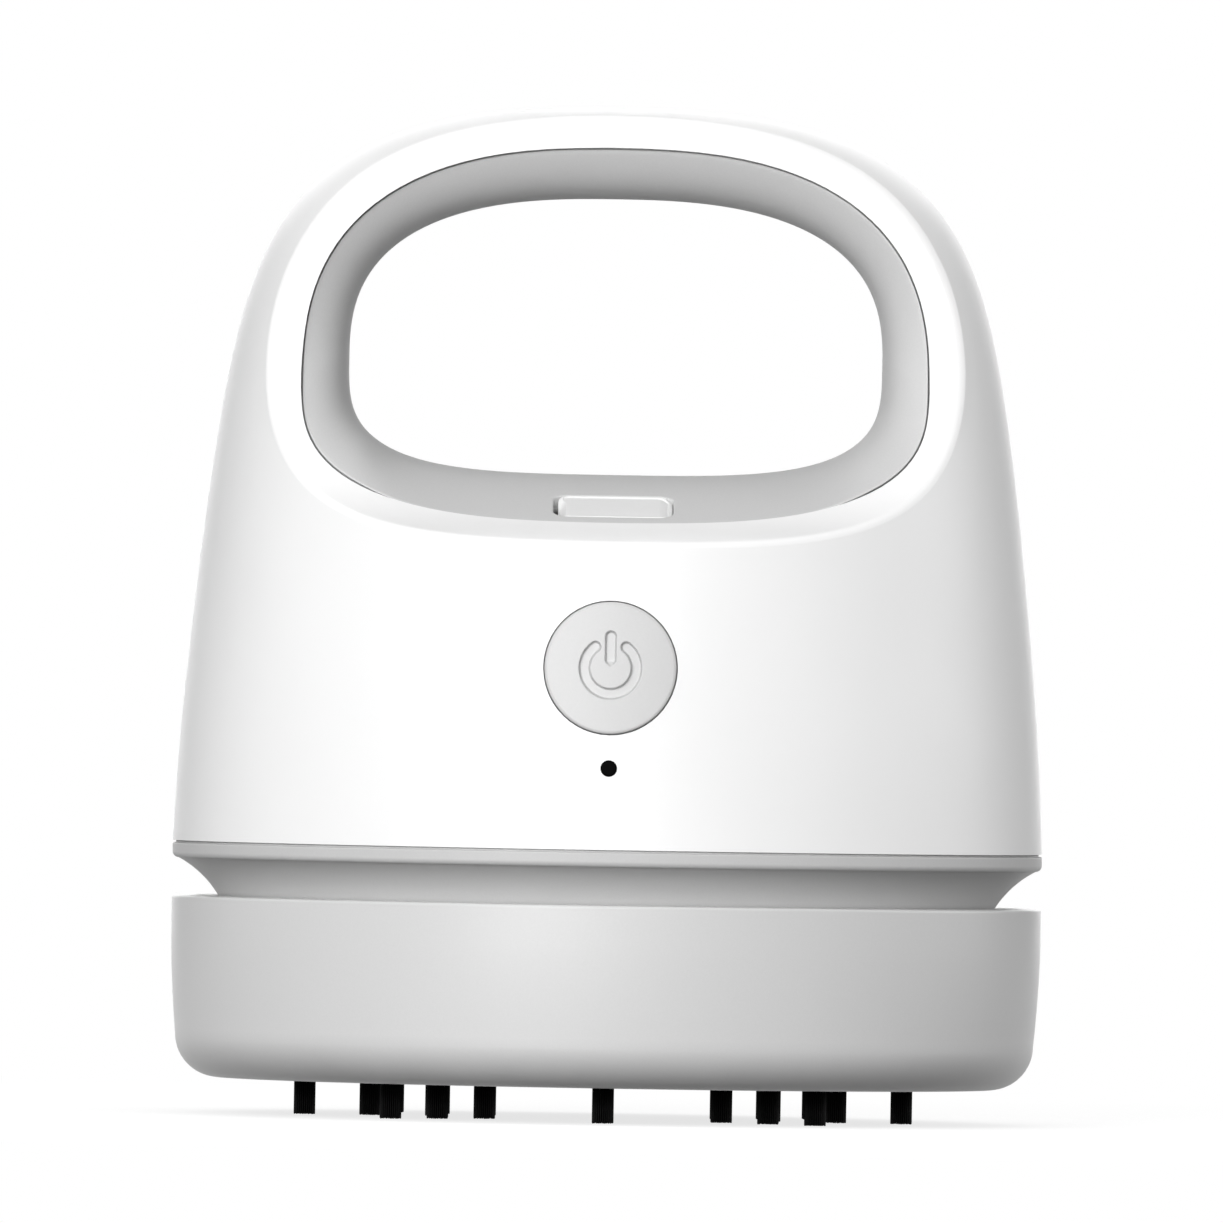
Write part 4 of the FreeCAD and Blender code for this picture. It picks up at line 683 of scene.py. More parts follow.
def mesh_piece(name: str, patches: Sequence[Patch], caps: Sequence[Sequence[int]] = ()) -> bpy.types.Object:
    """A smooth-shaded object at the origin from patches whose borders share their points.

    The patches are welded where points meet, and the faces of each closed part face outwards.

    Args:
        name: Name of the piece.
        patches: Its patches.
        caps: Vertex numbers of closing faces, in the first patch.

    Returns:
        The linked object.
    """
    starts = np.cumsum([0] + [len(patch.points) for patch in patches])
    points = np.concatenate([patch.points for patch in patches]) * MM
    quads = np.concatenate([patch.quads + start for patch, start in zip(patches, starts)])
    mesh = bpy.data.meshes.new(name)
    mesh.from_pydata(points.tolist(), [], quads.tolist() + [list(cap) for cap in caps])
    shape = bmesh.new()
    shape.from_mesh(mesh)
    bmesh.ops.remove_doubles(shape, verts=shape.verts, dist=WELD)
    bmesh.ops.recalc_face_normals(shape, faces=shape.faces)
    shape.to_mesh(mesh)
    shape.free()
    mesh.polygons.foreach_set("use_smooth", np.ones(len(mesh.polygons), bool))
    made = bpy.data.objects.new(name, mesh)
    bpy.context.scene.collection.objects.link(made)
    return made


def bow(start: Sequence[float], finish: Sequence[float], radius: float, side: int, steps: int) -> np.ndarray:
    """An arc without its last point: the shorter way round the circle through both ends.

    Args:
        start: First point.
        finish: Last point.
        radius: Radius of the circle.
        side: 1 where the arc bulges to the right of the way from start to finish, -1 to the left.
        steps: Points.

    Returns:
        Points of the arc.
    """
    first, last = np.asarray(start, float), np.asarray(finish, float)
    chord = last - first
    length = float(np.hypot(*chord))
    left = np.array([-chord[1], chord[0]]) / length
    middle = (first + last) / 2 + side * left * math.sqrt(max(radius ** 2 - length ** 2 / 4, 0.0))
    begin, end = (math.atan2(*(point - middle)[::-1]) for point in (first, last))
    turn = (end - begin + math.pi) % (2 * math.pi) - math.pi
    angle = begin + turn * np.arange(steps) / steps
    return middle + radius * np.stack([np.cos(angle), np.sin(angle)], 1)


def outline(corners: Sequence[Sequence[float]], steps: int = 14) -> np.ndarray:
    """A closed outline; a corner of four numbers starts an arc to the next one.

    Args:
        corners: (r, z), or (r, z, radius, side) as bow takes them.
        steps: Points of each arc.

    Returns:
        Points of the outline.
    """
    parts = []
    for corner, after in zip(corners, list(corners[1:]) + [corners[0]]):
        if len(corner) > 2:
            parts.append(bow(corner[:2], after[:2], corner[2], int(corner[3]), steps))
        else:
            parts.append(np.array([corner], float))
    return np.concatenate(parts)


def soften(line: np.ndarray, radius: float, steps: int = 4, closed: bool = True) -> np.ndarray:
    """Rounds the corners of an outline that turn by more than 25 degrees.

    Corner V becomes (1-t)^2 A + 2t(1-t) V + t^2 B, where A and B lie on its two sides at
    radius tan(turn / 2), and one more point stands 0.05 mm outside A and B so that the flats
    beside it stay flat.

    Args:
        line: Points of the outline.
        radius: Radius of the rounding, mm.
        steps: Steps of each rounding.
        closed: Whether the last point joins the first.

    Returns:
        Points of the softened outline.
    """
    before = line - np.roll(line, 1, 0)
    after = np.roll(line, -1, 0) - line
    lengths = [np.maximum(np.hypot(*way.T), 1e-9)[:, None] for way in (before, after)]
    before, after = before / lengths[0], after / lengths[1]
    cross = before[:, 0] * after[:, 1] - before[:, 1] * after[:, 0]
    turn = np.abs(np.arctan2(cross, (before * after).sum(1)))
    sharp = turn > math.radians(25)
    if not closed:
        sharp[[0, -1]] = False
    reach = np.where(sharp, radius * np.tan(np.minimum(turn, 2.6) / 2), 0.0)[:, None]
    reach = np.minimum(reach, 0.42 * np.minimum(*lengths))
    share = np.linspace(0.0, 1.0, steps + 1)[None, :, None]
    first, last = line - before * reach, line + after * reach
    round_part = ((1 - share) ** 2 * first[:, None] + 2 * share * (1 - share) * line[:, None]
                  + share ** 2 * last[:, None])
    spare = np.minimum(0.05, 0.1 * np.minimum(*lengths)) * (reach > 0)
    every = np.concatenate([(first - before * spare)[:, None], round_part,
                            (last + after * spare)[:, None]], 1)
    keep = np.ones(every.shape[:2], bool)
    keep[~sharp, 1:] = False
    return every[keep]


def lathe(line: np.ndarray, columns: int = 256, closed: bool = True) -> Patch:
    """Turns an outline about Z: (r, z) becomes (r cos a, r sin a, z).

    Args:
        line: Points (r, z).
        columns: Steps round the turn.
        closed: Whether the outline's last point joins its first.

    Returns:
        The surface.
    """
    angle = 2 * np.pi * (np.arange(columns) + 0.5) / columns
    radius, height = line[:, 0][:, None], line[:, 1][:, None]
    points = np.stack(np.broadcast_arrays(radius * np.cos(angle), radius * np.sin(angle), height), -1)
    return Patch.grid(points, closed, True)


def peg(radius: float, low: float, high: float, edge: float = 0.15, columns: int = 48) -> Patch:
    """A round peg along Z with softened ends.

    Args:
        radius: Its radius.
        low: Its foot.
        high: Its top.
        edge: Radius of the softening.
        columns: Steps round it.

    Returns:
        The closed surface.
    """
    line = np.array([(0.0, low), (radius, low), (radius, high), (0.0, high)])
    return lathe(soften(line, edge, 3, False), columns, False)


def rounded_ring(half_x: float, half_y: float, corner: float, count: int) -> np.ndarray:
    """Points evenly round a rectangle with round corners: its core plus a circle's direction.

    Args:
        half_x: Half the length.
        half_y: Half the width.
        corner: Radius of the corners.
        count: Points.

    Returns:
        Points, from the right side's middle, anticlockwise.
    """
    angle = np.linspace(0.0, 2 * np.pi, 40 * count, endpoint=False)
    across, up = np.cos(angle), np.sin(angle)
    sides = np.stack([np.sign(across) * (half_x - corner), np.sign(up) * (half_y - corner)], 1)
    dense = sides + corner * np.stack([across, up], 1)
    dense = np.concatenate([dense, dense[:1]])
    length = np.concatenate([[0.0], np.cumsum(np.hypot(*np.diff(dense, axis=0).T))])
    even = (np.arange(count) + 0.5) / count * length[-1]
    return np.stack([np.interp(even, length, dense[:, k]) for k in (0, 1)], 1)


def ease(value: np.ndarray | float) -> np.ndarray:
    """Smooth step: 3v^2 - 2v^3 of the value held within 0 and 1."""
    held = np.clip(value, 0.0, 1.0)
    return held * held * (3 - 2 * held)


# ---------------------------------------------------------------- shape of the housing

@dataclass(frozen=True)
class Egg:
    """An egg outline in the XZ plane: one superellipse above its widest line and one below.

    Attributes:
        half_width: Half its width, mm.
        middle: Level of the widest line, mm.
        high: Height above that line, mm.
        low: Depth below it, mm.
        powers: Powers of the upper and the lower curve.
    """

    half_width: float
    middle: float
    high: float
    low: float
    powers: tuple[float, float]

    def points(self, angle: np.ndarray) -> np.ndarray:
        """Points (x, z): width cos^(2/p), height sin^(2/p), each with its sign.

        Args:
            angle: Angles, from +X towards +Z.

        Returns:
            Points, one a line.
        """
        across, up = np.cos(angle), np.sin(angle)
        power = 2 / np.where(up >= 0, *self.powers)
        height = np.where(up >= 0, self.high, self.low)
        x = self.half_width * np.sign(across) * np.abs(across) ** power
        return np.stack([x, self.middle + height * np.sign(up) * np.abs(up) ** power], -1)

    def outward(self, angle: np.ndarray) -> np.ndarray:
        """Outward normals (x, z) at angles, from the chord to either side."""
        run = self.points(angle + 0.01) - self.points(angle - 0.01)
        return np.stack([run[..., 1], -run[..., 0]], -1) / np.hypot(run[..., 0], run[..., 1])[..., None]

    def even_angles(self, count: int) -> np.ndarray:
        """Angles at which the outline is evenly divided, by its length summed over 24,000 steps.

        Args:
            count: How many angles.

        Returns:
            The angles, the first half a step past +X.
        """
        dense = np.linspace(0.0, 2 * np.pi, 24001)
        length = np.concatenate([[0.0], np.cumsum(np.hypot(*np.diff(self.points(dense), axis=0).T))])
        return np.interp((np.arange(count) + 0.5) / count * length[-1], length, dense)


@dataclass(frozen=True)
class Housing:
    """The formula shapes that shell and lining share, all in mm.

    Attributes:
        base_radius: Radius of the dome's foot.
        foot: Level of the dome's foot.
        crown: Level of the dome's top.
        taper: How far the wall leans in at the top.
        taper_power: Power of that lean.
        crown_power: Power of the height in the crown's curve.
        shoulder_power: Power of the radius in it.
        scoop_radius: Radius of each scoop's quarter round.
        scoop_centre: Distance of the scoop's axis from the middle plane.
        scoop_level: Level of that axis.
        lip: Thickness of the shell at the mouth.
        mouth: Outline of the opening in the scoop.
        grip: Outline of the opening in the middle.
        skin: Thickness of the lining.
        floor_flare: How far the lining's floor falls from the middle to the mouth.
        floor_share: Slope of that fall as a share of the scoop's own at the mouth.
        floor_start: Length over which the fall sets in.
        side_power: Power of the flare at sides and top.
        side_excess: How far the flare may run on past the mouth, as a share.
    """

    base_radius: float = 44.0
    foot: float = 27.55
    crown: float = 102.27
    taper: float = 8.65
    taper_power: float = 1.39
    crown_power: float = 8.87
    shoulder_power: float = 2.63
    scoop_radius: float = 28.5
    scoop_centre: float = 43.4
    scoop_level: float = 86.9
    lip: float = 0.8
    mouth: Egg = Egg(31.63, 74.2, 23.91, 13.9, (2.56, 2.86))
    grip: Egg = Egg(27.0, 76.7, 16.46, 11.41, (2.64, 3.46))
    skin: float = 1.8
    floor_flare: float = 4.99
    floor_share: float = 0.85
    floor_start: float = 4.0
    side_power: int = 5
    side_excess: float = 0.6

    def radius(self, z: np.ndarray | float) -> np.ndarray:
        """Radius of the dome: (R - taper u^a)(1 - u^c)^(1/s), where u is the share of the height.

        Args:
            z: Levels.

        Returns:
            Radii.
        """
        share = np.clip((np.asarray(z, float) - self.foot) / (self.crown - self.foot), 0.0, 1.0)
        wall = self.base_radius - self.taper * share ** self.taper_power
        return wall * (1 - share ** self.crown_power) ** (1 / self.shoulder_power)

    def scoop_depth(self, z: np.ndarray) -> np.ndarray:
        """How far in front of the middle plane the scoop lies at a level."""
        drop = np.clip(self.scoop_level - z, 0.0, self.scoop_radius)
        return self.scoop_centre - np.sqrt(self.scoop_radius ** 2 - drop ** 2)

    def lining(self, angle: np.ndarray, depth: np.ndarray, skin: float = 0.0) -> np.ndarray:
        """Points of the lining: grip + (mouth - grip) share + outward skin.

        The share of the flare grows with a power of the depth at sides and top, and as a ramp
        with a soft start on the floor, (t + sqrt(t^2 + start^2)) / 2; the angle blends the two.

        Args:
            angle: Angles round the opening.
            depth: Distances from the middle plane.
            skin: How far the surface is moved out.

        Returns:
            Points (x, y, z), in front of the middle plane.
        """
        grip, mouth = self.grip.points(angle), self.mouth.points(angle)
        below = ease((-np.sin(angle) - 0.5) / 0.4)
        reach = self.scoop_depth(mouth[..., 1]) - self.lip
        ratio = depth / reach
        over = (1 - np.maximum(ratio, 1.0)) * self.side_power / self.side_excess
        side = np.where(ratio < 1, ratio ** self.side_power, 1 + self.side_excess * (1 - np.exp(over)))
        bottom = self.mouth.middle - self.mouth.low
        end = float(self.scoop_depth(np.array(bottom))) - self.lip
        slope = (self.scoop_centre - end) / (self.scoop_level - bottom) * self.floor_share
        rise = self.floor_flare / slope
        run = depth - (reach - rise + self.floor_start / rise)
        floor = (run + np.sqrt(run ** 2 + self.floor_start ** 2)) / 2 / rise
        share = (below * floor + (1 - below) * side)[..., None]
        flat = grip + (mouth - grip) * share + self.grip.outward(angle) * skin
        return np.stack(np.broadcast_arrays(flat[..., 0], -depth, flat[..., 1]), -1)


HOUSING = Housing()


# ---------------------------------------------------------------- studio

@dataclass
class Lamp:
    """One soft lamp, a panel that the camera doesn't see.

    Attributes:
        name: Name of the lamp.
        place: Where it stands, metres.
        watts: Power.
        width: Width of its panel, metres.
        height: Height of its panel, metres.
    """

    name: str
    place: Place
    watts: float
    width: float = 0.8
    height: float = 0.8

    def build(self, target: Vector) -> bpy.types.Object:
        """Makes the lamp, facing a target.

        Args:
            target: Point it faces.

        Returns:
            The lamp.
        """
        data = bpy.data.lights.new(self.name, "AREA")
        data.shape = "RECTANGLE"
        data.energy = self.watts
        data.size, data.size_y = self.width, self.height
        lamp = bpy.data.objects.new(self.name, data)
        lamp.location = self.place
        lamp.visible_camera = False
        lamp.rotation_euler = (target - Vector(self.place)).to_track_quat("-Z", "Y").to_euler()
        bpy.context.scene.collection.objects.link(lamp)
        return lamp


@dataclass
class Studio:
    """White floor and surround, soft lamps and the camera.

    Attributes:
        aim_height: Height the camera looks at and from, metres.
        frame_width: Width that the picture takes in at the object, metres.
        lens: Focal length for a 36 mm sensor, mm.
        roll: Clockwise turn of the object in the picture, degrees.
        world_light: Strength of the even light from all round.
        floor_radius: Half the floor's side, metres.
        floor_tones: Floor's colour for bounced light and for the eye.
        floor_glow: Own light of the floor for the eye, so that it reads as white.
        shadow_edge: Distances over which the shadow fades into plain white, metres.
    """

    aim_height: float = 0.0514
    frame_width: float = 0.1238
    lens: float = 1000.0
    roll: float = 1.0
    world_light: float = 0.40
    floor_radius: float = 4.0
    floor_tones: tuple[float, float] = (0.05, 0.32)
    floor_glow: float = 0.76
    shadow_edge: tuple[float, float] = (0.08, 0.22)

    def build(self) -> None:
        """Makes the camera, the world, the lamps and the floor."""
        self.make_camera()
        self.make_world()
        target = Vector((0.0, 0.0, self.aim_height))
        lamps = (
            Lamp("key_panel", (-0.473, -1.299, 0.270), 17.6),
            Lamp("fill_panel", (0.000, -1.383, 0.270), 6.2),
            Lamp("top_panel", (0.0, 0.01, 1.45), 2.7),
            Lamp("rear_panel", (0.0, 1.386, 0.246), 7.0, width=1.0),
            Lamp("left_edge_panel", (-1.323, 0.354, 0.342), 1.6),
            Lamp("right_edge_panel", (1.323, 0.354, 0.342), 5.7),
        )
        for lamp in lamps:
            lamp.build(target)
        self.make_floor()

    def make_camera(self) -> None:
        """A long lens straight in front, level with the middle of the object."""
        data = bpy.data.cameras.new("camera")
        data.sensor_width = 36.0
        data.lens = self.lens
        data.clip_start, data.clip_end = 0.01, 50.0
        camera = bpy.data.objects.new("camera", data)
        distance = self.frame_width * self.lens / data.sensor_width
        level = Matrix.Rotation(math.radians(90), 4, "X")
        turn = Matrix.Rotation(math.radians(self.roll), 4, "Z")
        camera.matrix_world = Matrix.Translation((0.0, -distance, self.aim_height)) @ level @ turn
        bpy.context.scene.collection.objects.link(camera)
        bpy.context.scene.camera = camera

    def make_world(self) -> None:
        """Even light on the object and in its reflections, plain white to the camera."""
        world = bpy.data.worlds.new("surround")
        bpy.context.scene.world = world
        wiring = fresh_wiring(world)
        output = wiring.node("ShaderNodeOutputWorld")
        ray = wiring.node("ShaderNodeLightPath")
        seen = wiring.math("MAXIMUM", ray.outputs["Is Camera Ray"], ray.outputs["Is Transmission Ray"])
        light, white = wiring.node("ShaderNodeBackground"), wiring.node("ShaderNodeBackground")
        light.inputs["Strength"].default_value = self.world_light
        for even in (light, white):
            even.inputs["Color"].default_value = (1.0, 1.0, 1.0, 1.0)
        wiring.link(wiring.mix_shaders(seen, light.outputs[0], white.outputs[0]), output.inputs["Surface"])

    def make_floor(self) -> None:
        """White floor that keeps the object's shadow and can be seen through from below.

        It rides on the cup, so that the cup stays in view when it is pulled down.
        """
        side = self.floor_radius / MM
        points = np.array([(-side, -side, 0), (side, -side, 0), (side, side, 0), (-side, side, 0)], float)
        floor = mesh_piece("floor", [Patch(points, np.array([[0, 1, 2, 3]]))])
        material = bpy.data.materials.new("white_floor")
        wiring = fresh_wiring(material)
        output = wiring.node("ShaderNodeOutputMaterial")
        ray = wiring.node("ShaderNodeLightPath")
        seen = wiring.math("MAXIMUM", ray.outputs["Is Camera Ray"], ray.outputs["Is Glossy Ray"])
        matt = wiring.node("ShaderNodeBsdfDiffuse")
        wiring.link(wiring.blend(seen, *map(grey, self.floor_tones)), matt.inputs["Color"])
        glow = wiring.node("ShaderNodeEmission")
        wiring.link(wiring.math("MULTIPLY", seen, self.floor_glow), glow.inputs["Strength"])
        near = wiring.node("ShaderNodeAddShader")
        wiring.link(matt.outputs[0], near.inputs[0])
        wiring.link(glow.outputs[0], near.inputs[1])
        far = wiring.node("ShaderNodeEmission")
        wiring.link(seen, far.inputs["Strength"])
        reach = wiring.node("ShaderNodeVectorMath", operation="LENGTH")
        wiring.link(wiring.node("ShaderNodeTexCoord").outputs["Object"], reach.inputs[0])
        fade = wiring.span(reach.outputs["Value"], *self.shadow_edge, 0.0, 1.0)
        above = wiring.mix_shaders(fade, near.outputs[0], far.outputs[0])
        below = wiring.node("ShaderNodeBsdfTransparent").outputs[0]
        under = wiring.node("ShaderNodeNewGeometry").outputs["Backfacing"]
        wiring.link(wiring.mix_shaders(under, above, below), output.inputs["Surface"])
        floor.data.materials.append(material)
        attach(floor, "cup")


# ---------------------------------------------------------------- pieces of the object

class Dresser:
    """Gives finishes to nodes and pieces, and puts pieces on their bodies."""

    def __init__(self, frame: dict, finishes: dict[str, bpy.types.Material]) -> None:
        """Keeps the frame and the finishes.

        Args:
            finishes: Material by slot.
        """
        self.nodes: dict[str, bpy.types.Object] = frame["nodes"]
        self.finishes = finishes
        self.slots = {item["node"]: item["material_slot"] for item in frame["record"]["subparts"]}
        bodies = frame["record"]["behaviour"]["bodies"]
        self.bodies = {node: body for body, nodes in bodies.items() for node in nodes}

    def dress_nodes(self) -> None:
        """Gives every CAD node the finish of its slot."""
        for name, node in self.nodes.items():
            node.data.materials.clear()
            node.data.materials.append(self.finishes[self.slots[name]])

    def fit(self, piece: bpy.types.Object, *nodes: str, finish: str = "") -> bpy.types.Object:
        """Lets a piece stand for CAD nodes: their body, their slot and their finish.

        Args:
            piece: The piece.
            *nodes: The nodes it replaces.
            finish: Name of a finish of its own, where it isn't the slot's.

        Returns:
            The piece.
        """
        slot = self.slots[nodes[0]]
        piece.data.materials.clear()
        piece.data.materials.append(self.finishes[finish or slot])
        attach(piece, self.bodies[nodes[0]])
        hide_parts(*nodes)
        LOG.info("%s: %d faces, stands for %s", piece.name, len(piece.data.polygons), ", ".join(nodes))
        return piece


@dataclass
class WaistRing:
    """Flange under the housing, hollow neck, and the spigot and deck that enter the cup.

    Attributes:
        outer: Radius of the flange, mm.
        spigot: Radius of the spigot, mm.
        bore: Bore of the spigot, mm.
        rim: Level of the cup's rim, where the neck starts, mm.
        top: Level of the flange's top, mm.
        deck: Level of the deck's top, mm.
        spigot_foot: Level of the spigot's foot, mm.
        sweep: Radius of the neck's hollow, mm.
        groove: Radius of the seal's groove, mm.
        groove_levels: Foot and top of the groove, mm.
        filter_top: Level of the ledge that stops the filter, mm.
        eye: Radius of the air's way through the deck, mm.
        bosses: Middles of the screw bosses below the deck, mm.
        boss_radius: Their radius, mm.
        boss_foot: Level of their feet, mm.
        plate: Thickness of the deck, mm.
        ledge: Width of the filter's ledge, mm.
        flange: Height of the flange, mm.
        flange_edge: Radius of the flange's lower edge, mm.
        notch: How far the top stands back under the shell, mm.
        rib: Outer radius, width and height of the rib inside the shell, mm.
    """

    outer: float = 44.0
    spigot: float = 39.3
    bore: float = 37.5
    rim: float = 22.0
    top: float = 27.3
    deck: float = 27.55
    spigot_foot: float = 15.5
    sweep: float = 10.7
    groove: float = 37.85
    groove_levels: tuple[float, float] = (17.5, 19.1)
    filter_top: float = 21.0
    eye: float = 8.5
    bosses: tuple[tuple[float, float], ...] = ((24.0, 0.0), (-24.0, 0.0), (0.0, 24.0), (0.0, -24.0),
                                              (24.5, 20.55), (-24.5, 20.55))
    boss_radius: float = 2.4
    boss_foot: float = 21.8
    plate: float = 2.0
    ledge: float = 1.5
    flange: float = 1.5
    flange_edge: float = 0.6
    notch: float = 0.35
    rib: tuple[float, float, float] = (41.8, 1.4, 2.45)

    def profile(self) -> np.ndarray:
        """Outline (r, z) of the turned part: deck, ledge, spigot, groove, neck, flange and rib.

        Returns:
            Points of the outline.
        """
        under, edge = self.top - self.flange, self.flange_edge
        low, high = self.groove_levels
        ceiling, stop = self.deck - self.plate, self.bore - self.ledge
        back, seat = self.outer - self.notch, self.deck - 0.02
        rib, rib_width, rib_height = self.rib
        return outline([
            (self.eye, ceiling), (stop, ceiling), (stop, self.filter_top),
            (self.bore, self.filter_top), (self.bore, self.spigot_foot), (self.spigot, self.spigot_foot),
            (self.spigot, low), (self.groove, low), (self.groove, high), (self.spigot, high),
            (self.spigot, self.rim, self.sweep, -1), (self.outer - edge, under, edge, 1),
            (self.outer, under + edge), (self.outer, self.top), (back, self.top),
            (back, seat), (rib + 0.5, seat), (rib, self.deck), (rib, self.deck + rib_height),
            (rib - rib_width, self.deck + rib_height), (rib - rib_width, self.deck), (self.eye, self.deck)])

    def build(self, dresser: Dresser) -> None:
        """Makes the ring with its bosses.

        Args:
            dresser: Gives the finish and the body.
        """
        patches = [lathe(soften(self.profile(), 0.16))]
        for x, y in self.bosses:
            patches.append(peg(self.boss_radius, self.boss_foot, self.deck - self.plate, 0.3).moved(x, y))
        dresser.fit(mesh_piece("waist_ring", patches), "chassis_ring", finish="waist_grey")


@dataclass
class DustCup:
    """The pull-off cup: its wall, the collar in its rim and the plate in its floor.

    Attributes:
        outer: Radius at the rim, mm.
        lean: How much narrower it is above the foot, mm.
        corner: Radius of the foot's round, mm.
        base: Level of its underside, mm.
        rim: Level of its rim, mm.
        straight: Height of the upright part under the rim, mm.
        bulge: Radius of the wall's slight bulge, mm.
        wall: Thickness of the wall, mm.
        floor_top: Level of the floor's inside, mm.
        plate: Radius of the plate, mm.
        collar_bore: Bore of the collar, mm.
        sleeve_foot: Level of the sleeve's foot, mm.
        inlet: Radius of the suction inlet, mm.
        riser_top: Level of the riser's top, mm.
        plate_top: Level of the plate's flange, mm.
        sleeve: Thickness of the collar's sleeve, mm.
        bed: Height of the collar's bed in the cup's rim, mm.
    """

    outer: float = 44.0
    lean: float = 0.57
    corner: float = 4.4
    base: float = 3.64
    rim: float = 22.0
    straight: float = 4.3
    bulge: float = 130.0
    wall: float = 2.0
    floor_top: float = 5.44
    plate: float = 34.0
    collar_bore: float = 39.5
    sleeve_foot: float = 15.5
    inlet: float = 8.0
    riser_top: float = 11.0
    plate_top: float = 7.2
    sleeve: float = 1.4
    bed: float = 2.0

    def wall_profile(self) -> np.ndarray:
        """Outline (r, z) of the cup: floor ring, round foot, leaning wall and softened rim.

        Returns:
            Points of the outline.
        """
        lean, ring = self.outer - self.lean, self.plate + 0.1
        shoulder, knee = self.rim - self.straight, self.base + self.corner
        inner = self.corner - self.wall
        return outline([
            (ring, self.base), (lean - self.corner, self.base, self.corner, 1), (lean, knee, self.bulge, 1),
            (self.outer, shoulder), (self.outer, self.rim), (self.outer - self.wall, self.rim),
            (self.outer - self.wall, shoulder), (lean - self.wall, knee, inner, -1),
            (lean - self.wall - inner, self.floor_top), (ring, self.floor_top)], 18)

    def build(self, dresser: Dresser) -> None:
        """Makes the cup, the collar and the plate.

        Args:
            dresser: Gives the finishes and the bodies.
        """
        dresser.fit(mesh_piece("dust_cup", [lathe(soften(self.wall_profile(), 0.3))]), "dust_bin")
        bore, sleeve = self.collar_bore, self.collar_bore + self.sleeve
        seat, under = self.outer - self.wall - 0.05, self.rim - self.bed
        collar = np.array([(bore, self.sleeve_foot), (sleeve, self.sleeve_foot), (sleeve, under),
                           (seat, under), (seat, self.rim), (bore, self.rim)])
        dresser.fit(mesh_piece("cup_collar", [lathe(soften(collar, 0.2))]), "bin_collar")
        dresser.fit(mesh_piece("tuft_plate", [lathe(soften(self.plate_profile(), 0.25))]), "brush_plate",
                    finish="plate_grey")

    def plate_profile(self) -> np.ndarray:
        """Outline (r, z) of the plate: flat underside, flange over the floor ring, riser in the middle."""
        flange, riser = self.plate + 2.5, self.inlet + 1.5
        return np.array([(self.inlet, self.base), (self.plate, self.base), (self.plate, self.floor_top),
                         (flange, self.floor_top), (flange, self.plate_top), (riser, self.plate_top),
                         (riser, self.riser_top), (self.inlet, self.riser_top)])


